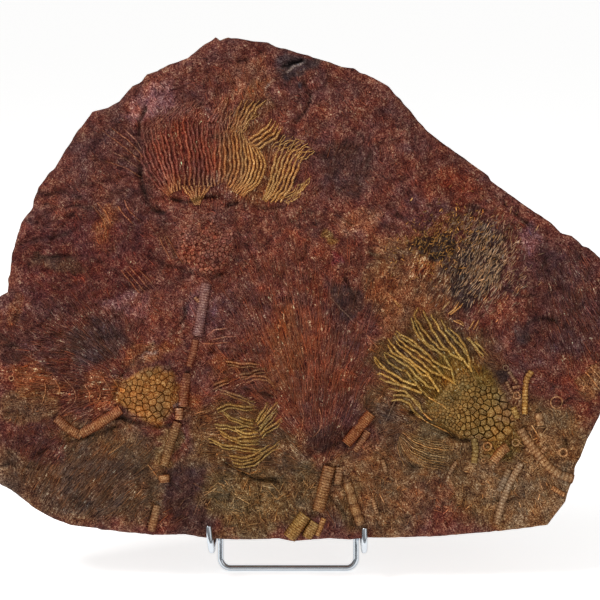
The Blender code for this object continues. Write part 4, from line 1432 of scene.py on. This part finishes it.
crumb_starts = starts_on_face(5200, 95)
crumb_starts = crumb_starts[share_of_reach(*crumb_starts.T) < CRUMB_EDGE]
crumb_starts = crumb_starts[(beside_hooks(crumb_starts[:, 0]) > CRUMB_GAP) | (crumb_starts[:, 1] > HOOK_ROOM)]
fossil_piece("crystal_crumb", [crumbs(crumb_starts, 0.62, 96)], 1.1, seed=15, tone=0.3, warm=0.6,
             material=thread_material)


def straws(centre, half_size, count, length, half_width, seed):
    """Straight bits of thin stem, thrown down in random directions."""
    rng = np.random.default_rng(seed)
    start = starts_in_oval(centre, half_size, 0.0, count, seed)
    angle = rng.uniform(0.0, math.pi, count)
    reach = (length * rng.uniform(0.4, 1.0, count))[:, None] * np.linspace(-0.5, 0.5, 6)
    lines = start[:, None] + reach[..., None] * np.stack([np.cos(angle), np.sin(angle)], -1)[:, None]
    on_face = share_of_reach(lines[..., 0], lines[..., 1]).max(axis=1) < CRUMB_EDGE
    clear = (beside_hooks(lines[..., 0]).min(axis=1) > HOOK_GAP) | (lines[..., 1].min(axis=1) > HOOK_ROOM)
    return lying_rods(lines[on_face & clear], half_width, 1.3 * half_width, points=5, taper=(0.8, 0.7),
                      ground=rock_height)


# Where straws lie: (centre, half size, count, length, half width).
STRAW_BEDS = [((-43, 32), (42, 25), 130, 13.0, 0.55), ((8, 40), (16, 24), 50, 9.0, 0.6),
              ((62, 40), (20, 30), 50, 9.0, 0.5), ((180, 60), (44, 44), 150, 9.0, 0.65),
              ((100, 30), (40, 24), 60, 8.0, 0.55)]
straw_beds = [straws(*bed, seed=97 + k) for k, bed in enumerate(STRAW_BEDS)]
fossil_piece("straws", straw_beds, 1.0, gold=0.1, seed=16, tone=0.4, warm=0.6)


# ---- The stems ---------------------------------------------------------------------------------------
# The stalks that the sea lilies stood on, stacks of calcite rings like coins, broken in lengths and laid
# down in the mud. Each lies about half in the rock.

# Each stem: route, half width, ring height, colour.
STEMS = [
    ([(-73, 201), (-77, 176), (-80, 160)], 4.4, 1.95, "grey_pink"),
    ([(-88, 131), (-90, 119), (-91, 105)], 4.4, 1.95, "rust"),
    ([(-81, 157), (-83.5, 146), (-86.5, 136)], 3.0, 1.95, "rust"),
    ([(-95, 93), (-101, 76), (-106, 59)], 3.9, 1.9, "tan_brown"),
    ([(-106, 52), (-105.5, 46)], 4.6, 5.0, "tan"),
    ([(-111, 28), (-116, 8)], 3.5, 2.0, "tan_brown"),
    ([(-139.5, 103), (-158, 91), (-171, 83.5)], 4.3, 1.65, "gold_brown"),
    ([(-170, 82), (-181, 88), (-190, 96)], 4.1, 1.65, "gold_brown"),
    ([(23, 58.5), (14, 23.4)], 5.2, 2.1, "tan_brown"),
    ([(31, 57.7), (29.4, 44.5)], 3.5, 2.1, "tan"),
    ([(37, 46), (42, 28), (47.6, 12.5)], 4.1, 9.0, "tan_brown"),
    ([(4.3, 20.6), (-8.5, 2.5)], 5.7, 1.85, "olive_gold"),
    ([(12, 14.8), (5, 3)], 4.5, 1.85, "olive_gold"),
    ([(18.7, 18), (13.3, 4.5)], 2.3, 1.9, "gold"),
    ([(55.2, 99.8), (36, 76)], 4.6, 1.56, "orange"),
    ([(53, 85.8), (42.6, 70.2)], 3.1, 1.7, "orange"),
    ([(180.5, 132.5), (176, 126), (175.5, 116), (175, 99)], 2.5, 2.6, "olive_gold"),
    ([(171.5, 87.5), (176, 79.5), (182.5, 71.5), (194.5, 56.5), (203, 51.5), (212.5, 48.5)], 3.9, 3.2,
     "stem_tan"),
    ([(162, 74), (157, 70.5), (150.5, 62)], 4.0, 1.9, "crown_gold"),
    ([(135.5, 80.5), (137, 71), (135.5, 61)], 2.8, 3.0, "olive_gold"),
    ([(172, 61), (161, 41), (153, 14)], 3.0, 2.6, "stem_tan"),
    ([(163, 56), (155, 39)], 2.8, 2.4, "stem_tan"),
    ([(165.5, 104.5), (169, 95.5)], 3.2, 2.2, "olive_gold"),
    ([(185.5, 100), (187.5, 90)], 3.5, 6.0, "stem_tan"),
]
# Single rings and short bits of stem seen end on: (centre, radius of the ring, half width of its rim).
RINGS = [
    ((169, 113.5), 2.6, 0.9), ((168, 77), 2.6, 0.8), ((146, 74), 3.0, 1.0), ((143, 62.5), 1.5, 0.7),
    ((205, 69), 3.0, 1.0), ((160.5, 135), 2.0, 0.7), ((200, 108), 4.6, 0.6), ((-225, 127), 1.8, 0.6),
]
# Beads of stem: (route, half width).
BEADS = [
    ([(160.5, 124.5), (165.5, 115)], 1.6), ([(165.5, 119.5), (171.5, 121)], 1.5),
    ([(162.5, 132.5), (165.5, 127.5), (169, 123)], 1.8), ([(-94, 104), (-94, 95)], 3.4),
    ([(196, 42), (206, 36)], 2.2), ([(186, 66), (192, 74)], 2.4), ([(64, 64), (67, 54)], 2.0),
    ([(56, 34), (60, 22)], 2.0), ([(-82, 190), (-76, 184)], 1.6), ([(122, 62), (116, 52)], 1.8),
]
BEAD_PITCH = 1.9


def stem(route, half_width, height, ring, **shape):
    """A stretch of stem along a route, with six steps to each of its rings."""
    length = sum(math.dist(a, b) for a, b in zip(route, route[1:]))
    line = smooth_routes([route], max(12, int(6 * length / ring)))
    return lying_rods(line, half_width, height, ring, **shape)


def end_ring(centre, radius, rim):
    """A ring seen end on: a rod bent to a circle."""
    turn = np.linspace(0.0, 2.0 * math.pi, 33)
    circle = np.stack([centre[0] + radius * np.cos(turn), centre[1] + radius * np.sin(turn)], -1)[None]
    return lying_rods(circle, rim, 1.6 * rim, taper=(1.0, 1.0))


stem_parts = [stem(route, half_width, 0.85 * half_width, ring, points=15, groove=0.1, taper=(0.97, 0.97))
              for route, half_width, ring, _ in STEMS]
stem_parts += [stem(route, half_width, half_width, BEAD_PITCH, points=11, lift=0.2 * half_width, groove=0.12,
                    taper=(0.95, 0.95)) for route, half_width in BEADS]
stem_parts += [end_ring(*ring) for ring in RINGS]
stem_colours = [colour for _, _, _, colour in STEMS] + ["tan"] * (len(BEADS) + len(RINGS))
fossil_piece("stems", stem_parts, 1.15, seed=8, tone=0.12, own_colours=stem_colours)


# ---- The cups ----------------------------------------------------------------------------------------
# The bodies of the sea lilies, bowls of many-sided calcite plates crushed in the bed, with grooves
# between the plates. The arms grew from their rims, with the smallest plates at their feet.

# Each cup: outline, centre, plate size at its small end and at its other, heading of its large end, how
# high the plates stand for their size, what share of them is sunk, light and gold.
CUPS = {
    "cup_upper_left": (
        [(-86, 257), (-70, 258), (-58, 253), (-49, 240), (-50, 228), (-56, 215), (-65, 207), (-76, 207),
         (-88, 212), (-95, 221), (-97, 231), (-96, 244)],
        (-76, 232), 2.0, 3.6, -80.0, 0.5, 0.25, 1.15, 0.0),
    "cup_left": (
        [(-138.5, 126), (-129.6, 131), (-120.6, 136), (-110, 138), (-100, 138), (-96, 129), (-97.5, 120),
         (-99, 108), (-97.5, 100.7), (-101, 94.7), (-108.7, 91), (-117.6, 92), (-129.6, 94), (-135.5, 98),
         (-140, 105.9), (-143, 112.6), (-141.5, 120)],
        (-118, 114), 4.2, 5.6, -90.0, 0.4, 0.0, 0.84, 0.1),
    "cup_right": (
        [(95.5, 100.6), (104.4, 93.2), (117.9, 85.7), (126.8, 79.7), (134.3, 78.5), (147.7, 76.7),
         (158.2, 78.2), (167.1, 84.2), (170.1, 93.2), (167.1, 102.1), (162.6, 111.1), (156.7, 120),
         (149.2, 123), (141, 122), (136, 128), (129, 136), (121, 132), (113.4, 122), (104.4, 112)],
        (135, 102), 2.0, 6.2, -22.0, 0.65, 0.03, 0.76, 0.3),
}
PATCH_NET = 176


def scattered_plates(outline, centre, small, large, heading, seed):
    """Middles and sizes of plates, thrown down one by one and kept where no plate's middle is too near."""
    rng = np.random.default_rng(seed)
    turned = math.radians(heading)
    reach = max(math.dist(centre, corner) for corner in outline)
    tries = rng.uniform(-1.05 * reach, 1.05 * reach, (9000, 2))
    within = star_radius(outline, centre, np.arctan2(tries[:, 1], tries[:, 0])) + 0.5 * large
    tries = tries[np.hypot(tries[:, 0], tries[:, 1]) < within]
    share = 0.5 + (tries[:, 0] * math.cos(turned) + tries[:, 1] * math.sin(turned)) / (1.5 * reach)
    sizes = small + (large - small) * smooth(share)
    kept = [0]
    for number in range(1, len(tries)):
        apart = np.hypot(*(tries[kept] - tries[number]).T)
        if (apart > 0.82 * 0.5 * (sizes[kept] + sizes[number])).all():
            kept.append(number)
    return tries[kept] + centre, sizes[kept]


def plate_patch(outline, centre, small, large, heading, height, missing, seed):
    """A patch of plates: each point stands by how much nearer it is to one plate's middle than to the next.

    Distances are measured in plate sizes, and the plates' domes rise by a cube of that difference.
    """
    middles, sizes = scattered_plates(outline, centre, small, large, heading, seed)
    x, y = disc_net(PATCH_NET)
    radius = star_radius(outline, centre, np.arctan2(y, x))
    across, up = centre[0] + x * radius, centre[1] + y * radius
    away = np.hypot(across.ravel()[:, None] - middles[:, 0], up.ravel()[:, None] - middles[:, 1]) / sizes
    owner = away.argmin(axis=1)
    rows = np.arange(len(owner))
    nearest = away[rows, owner]
    away[rows, owner] = np.inf
    apart = np.clip((away.min(axis=1) - nearest) / 0.36, 0.0, 1.0).reshape(x.shape)
    pillow = 1.0 - (1.0 - apart) ** 3
    rim = smooth((1.0 - np.hypot(x, y)) / 0.12)
    rng = np.random.default_rng(seed)
    rise = sizes * height * rng.uniform(0.75, 1.2, len(sizes))
    sunk = np.where(rng.uniform(0.0, 1.0, len(sizes)) < missing, 1.6, 0.0)[owner].reshape(x.shape)
    out = bed_height(across, up) - 0.8 + (rise[owner].reshape(x.shape) * pillow + 0.7) * rim - sunk
    place = np.stack([across, up, out], -1).reshape(-1, 3)
    index = np.arange(x.size).reshape(x.shape)
    edge = net_edge(index)
    below = place[edge] - [0.0, 0.0, 2.0]
    middle = [[centre[0], centre[1], below[:, 2].min() - 1.0]]
    low = len(place) + np.arange(len(edge))
    foot = np.stack([np.full(len(edge), len(place) + len(edge)), np.roll(low, -1), low], -1)
    wall = np.stack([edge, low, np.roll(low, -1), np.roll(edge, -1)], -1)
    place = np.concatenate([place, below, middle])
    # The crest is high in the plates' middles and low in the grooves between them: painted highlight on the
    # plates, painted shade in the grooves.
    crest = np.concatenate([np.clip(0.2 + pillow, 0.0, 1.0).ravel(), np.zeros(len(edge) + 1)])
    owner = np.concatenate([owner, np.zeros(len(edge) + 1, int)])
    return place, [net_quads(index), wall, foot], crest, owner


plate_material = stone_material("plate_calcite", scale=900.0, contrast=0.7, pale=0.35, dark=0.3, relief=0.3,
                                painted_shade_low=0.2, painted_light_high=1.25, roughness=0.5)
for number, (name, (*cup, light, gold)) in enumerate(CUPS.items()):
    patch = plate_patch(*cup, seed=90 + number)
    fossil_piece(name, [patch], light, gold, seed=9 + number, tone=0.14, warm=0.35, material=plate_material)


# ---- The stand ---------------------------------------------------------------------------------------
# Two bright chromed steel rods: one bent to a closed loop that the rock's back leans on, and one bent to
# two hooks and a rear foot. They cross at the loop's uprights, where they are welded.

ROD_SIDES = 24
LOOP_TOP = 225.0
LOOP_FOOT_BEND = 8.0
LOOP_TOP_BEND = 26.0
HOOK_HEIGHT = 26.4
HOOK_REACH = 3.4
HOOK_TIPS = (12.2, 10.7)
HOOK_SPLAY = (-2.4, 0.0)
HOOK_BEND = 7.0
HOOK_RUN_BACK = 46.0
RUN_BEND = 30.0
REAR_FOOT = 145.0
REAR_BEND = 12.0
TIP_ROUNDING = 0.8
TIP_RINGS = 5
ARC_POINTS = 14


def bent_path(corners, bends, closed=False):
    """A rod's centre line through corners, each rounded to its bend radius by an arc."""
    corners = [np.array(corner, float) for corner in corners]
    path = []
    for k, corner in enumerate(corners):
        if not closed and k in (0, len(corners) - 1):
            path.append(corner[None])
            continue
        before = corners[k - 1] - corner
        after = corners[(k + 1) % len(corners)] - corner
        before = before / np.linalg.norm(before)
        after = after / np.linalg.norm(after)
        half = 0.5 * math.acos(np.clip(before @ after, -1.0, 1.0))
        middle = (before + after) / np.linalg.norm(before + after)
        centre = corner + middle * bends[k] / math.sin(half)
        first = corner + before * bends[k] / math.tan(half) - centre
        last = corner + after * bends[k] / math.tan(half) - centre
        sweep = math.pi - 2.0 * half
        share = np.linspace(0.0, 1.0, ARC_POINTS)[:, None]
        arc = np.sin((1.0 - share) * sweep) * first + np.sin(share * sweep) * last
        path.append(centre + arc / math.sin(sweep))
    return np.concatenate(path)


def round_rod(path, radius, reference, closed, tip=0.0):
    """A round bar along a path: circles square to it, set off from one direction, domed at its tips."""
    if tip:
        share = np.radians(np.linspace(0.0, 90.0, TIP_RINGS + 1))[:-1]
        dome = tip * np.cos(share)[:, None] - tip
        start, end = path[0] - path[1], path[-1] - path[-2]
        head = path[0] + (start / np.linalg.norm(start)) * dome
        tail = path[-1] + (end / np.linalg.norm(end)) * dome
        path = np.concatenate([head, path[1:-1], tail[::-1]])
    run = np.roll(path, -1, 0) - np.roll(path, 1, 0) if closed else np.gradient(path, axis=0)
    run /= np.linalg.norm(run, axis=1, keepdims=True)
    side = np.cross(run, reference)
    side /= np.linalg.norm(side, axis=1, keepdims=True)
    top = np.cross(side, run)
    size = np.full(len(path), radius)
    if tip:
        size[:TIP_RINGS] = radius - tip + tip * np.sin(share)
        size[-TIP_RINGS:] = size[:TIP_RINGS][::-1]
    turns = np.linspace(0.0, 2.0 * math.pi, ROD_SIDES, endpoint=False)
    ring = np.cos(turns)[:, None] * side[:, None] + np.sin(turns)[:, None] * top[:, None]
    points = path[:, None] + size[:, None, None] * ring
    index = np.arange(len(path) * ROD_SIDES).reshape(len(path), ROD_SIDES)
    rows = np.concatenate([index, index[:1]]) if closed else index
    nxt = np.roll(rows, -1, axis=1)
    walls = np.stack([rows[:-1], rows[1:], nxt[1:], nxt[:-1]], -1).reshape(-1, 4)
    caps = [] if closed else [np.stack([index[0], index[-1, ::-1]])]
    return points.reshape(-1, 3), [walls] + caps


def chrome_material(name):
    """Bright chrome with the faint cloud of a handled stand."""
    material, tree, shader = new_material(name)
    place = add_node(tree, "TexCoord").outputs["Object"]
    cloud = add_node(tree, "TexNoise", {"noise_dimensions": "3D"}, Vector=place, Scale=90.0, Detail=4.0)
    rough = add_node(tree, "MapRange", None, Value=cloud.outputs["Fac"],
                     **{"From Min": 0.3, "From Max": 0.7, "To Min": 0.08, "To Max": 0.2})
    tree.links.new(rough.outputs["Result"], shader.inputs["Roughness"])
    tint = add_node(tree, "Mix", {"data_type": "RGBA"}, Factor=cloud.outputs["Fac"],
                    i6=(0.5, 0.54, 0.58, 1.0), i7=(0.62, 0.66, 0.7, 1.0))
    tree.links.new(tint.outputs[2], shader.inputs["Base Color"])
    shader.inputs["Metallic"].default_value = 1.0
    return material


rod_flat = ROD_RADIUS * math.cos(math.pi / 8)
setback = SLAB_THICKNESS + TOUCH_GAP + ROD_RADIUS
loop_down = (FACE_FOOT[2] - rod_flat - setback * math.sin(LEAN)) / math.cos(LEAN)
loop_rise = loop_down + LOOP_TOP
loop_corners = [(-LOOP_HALF_WIDTH, 0), (LOOP_HALF_WIDTH, 0), (LOOP_HALF_WIDTH, loop_rise),
                (-LOOP_HALF_WIDTH, loop_rise)]
loop_foot = [STAND_MIDDLE, FACE_FOOT[1] + setback * math.cos(LEAN) - loop_down * math.sin(LEAN), rod_flat]
loop_line = bent_path([loop_foot + across * ACROSS + up * UP for across, up in loop_corners],
                      [LOOP_FOOT_BEND, LOOP_FOOT_BEND, LOOP_TOP_BEND, LOOP_TOP_BEND], True)
loop_points, loop_faces = round_rod(loop_line, ROD_RADIUS, OUT, True)
loop = new_piece("polished_loop", MM * loop_points, loop_faces, {}, chrome_material("loop_chrome_finish"))
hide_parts("back_rest_loop")

foot_line = np.array([STAND_MIDDLE, FACE_FOOT[1], FACE_FOOT[2]])
hook_corners = []
for sign, tip, splay in zip((-1, 1), HOOK_TIPS, HOOK_SPLAY):
    side = sign * HOOK_HALF_WIDTH
    prong = foot_line + HOOK_REACH * OUT
    drop = (HOOK_HEIGHT - prong[2]) / UP[2]
    run = [
        prong + tip * UP + (side + splay) * ACROSS,
        prong + drop * UP + side * ACROSS,
        (STAND_MIDDLE + side, FACE_FOOT[1] + HOOK_RUN_BACK, HOOK_HEIGHT),
        (STAND_MIDDLE + side, FACE_FOOT[1] + REAR_FOOT, rod_flat),
    ]
    hook_corners += run if sign < 0 else run[::-1]
hook_bends = [0.0, HOOK_BEND, RUN_BEND, REAR_BEND]
hook_line = bent_path(hook_corners, hook_bends + hook_bends[::-1])
hook_points, hook_faces = round_rod(hook_line, ROD_RADIUS, np.array([0.0, 0.6, 0.8]), False, TIP_ROUNDING)
hook = new_piece("polished_hook_rod", MM * hook_points, hook_faces, {}, chrome_material("hook_chrome_finish"))
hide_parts("hook_and_foot_rod")


# ---- The floor, the light and the camera -------------------------------------------------------------
# A plain pale floor under soft studio light from the upper left.

FLOOR_REACH = 30.0
FLOOR_GAP = 0.00002
FLOOR_COLOUR = (0.95, 0.95, 0.95, 1.0)
FLOOR_ROUGHNESS = 0.9
FLOOR_GLOW = 0.62
WHITE = (1.0, 1.0, 1.0, 1.0)
floor_level = min(0.0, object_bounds()[0].z) - FLOOR_GAP
floor_corners = [(-FLOOR_REACH, -FLOOR_REACH), (FLOOR_REACH, -FLOOR_REACH), (FLOOR_REACH, FLOOR_REACH),
                 (-FLOOR_REACH, FLOOR_REACH)]
floor_mesh = bpy.data.meshes.new("floor")
floor_mesh.from_pydata([(x, y, floor_level) for x, y in floor_corners], [], [(0, 1, 2, 3)])
floor = bpy.data.objects.new("floor", floor_mesh)
floor_material, _, floor_shader = new_material("pale_floor")
floor_shader.inputs["Base Color"].default_value = FLOOR_COLOUR
floor_shader.inputs["Roughness"].default_value = FLOOR_ROUGHNESS
floor_shader.inputs["Emission Color"].default_value = WHITE
floor_shader.inputs["Emission Strength"].default_value = FLOOR_GLOW
floor_mesh.materials.append(floor_material)
bpy.context.scene.collection.objects.link(floor)

SKY_LIGHT = 0.34
SKY_LOW = (0.55, 0.58, 0.62, 1.0)
SKY_HIGH = (1.15, 1.14, 1.12, 1.0)
world = bpy.data.worlds.new("studio")
world.use_nodes = True
sky = world.node_tree
backdrop = sky.nodes["Background"]
backdrop.inputs["Strength"].default_value = 1.0
backdrop.inputs["Color"].default_value = WHITE
studio = add_node(sky, "Background", None, Strength=SKY_LIGHT)
seen = add_node(sky, "LightPath").outputs["Is Camera Ray"]
both_skies = add_node(sky, "MixShader", None, i0=seen, i1=studio.outputs[0], i2=backdrop.outputs[0])
sky.links.new(both_skies.outputs[0], sky.nodes["World Output"].inputs["Surface"])
direction = add_node(sky, "TexCoord").outputs["Generated"]
height = add_node(sky, "SeparateXYZ", None, Vector=direction).outputs["Z"]
shade = mix_node(sky, ease_node(sky, height, -0.1, 0.5), SKY_LOW, SKY_HIGH)
sky.links.new(shade, studio.inputs["Color"])
bpy.context.scene.world = world

LIGHT_TARGET = (0.0, -0.02, 0.22)


def area_light(name, place, size, power):
    """A square soft light aimed from its place at the slab, in metres."""
    light = bpy.data.lights.new(name, "AREA")
    light.shape = "SQUARE"
    light.size = size
    light.energy = power
    lamp = bpy.data.objects.new(name, light)
    back = np.array(place) - np.array(LIGHT_TARGET)
    lamp.location = place
    lamp.rotation_euler = (math.atan2(math.hypot(back[0], back[1]), back[2]), 0.0,
                           math.atan2(back[1], back[0]) + 0.5 * math.pi)
    bpy.context.scene.collection.objects.link(lamp)


area_light("key", (-0.95, -0.55, 1.6), size=0.8, power=24.0)
area_light("fill", (1.4, -1.6, 0.9), size=1.2, power=4.0)

VIEW_DISTANCE = 1300.0
VIEW_CENTRE_UP = 187.94
LENS = 100.0
SENSOR_WIDTH = 36.0
FAR_LIMIT = 200.0
target = FACE_FOOT + VIEW_CENTRE_UP * UP
camera_data = bpy.data.cameras.new("camera")
camera_data.lens = LENS
camera_data.sensor_width = SENSOR_WIDTH
camera_data.clip_end = FAR_LIMIT
camera = bpy.data.objects.new("camera", camera_data)
camera.location = MM * (target + VIEW_DISTANCE * OUT)
camera.rotation_euler = (0.5 * math.pi - LEAN, 0.0, 0.0)
bpy.context.scene.collection.objects.link(camera)
bpy.context.scene.camera = camera
bpy.context.scene.view_settings.view_transform = "Standard"
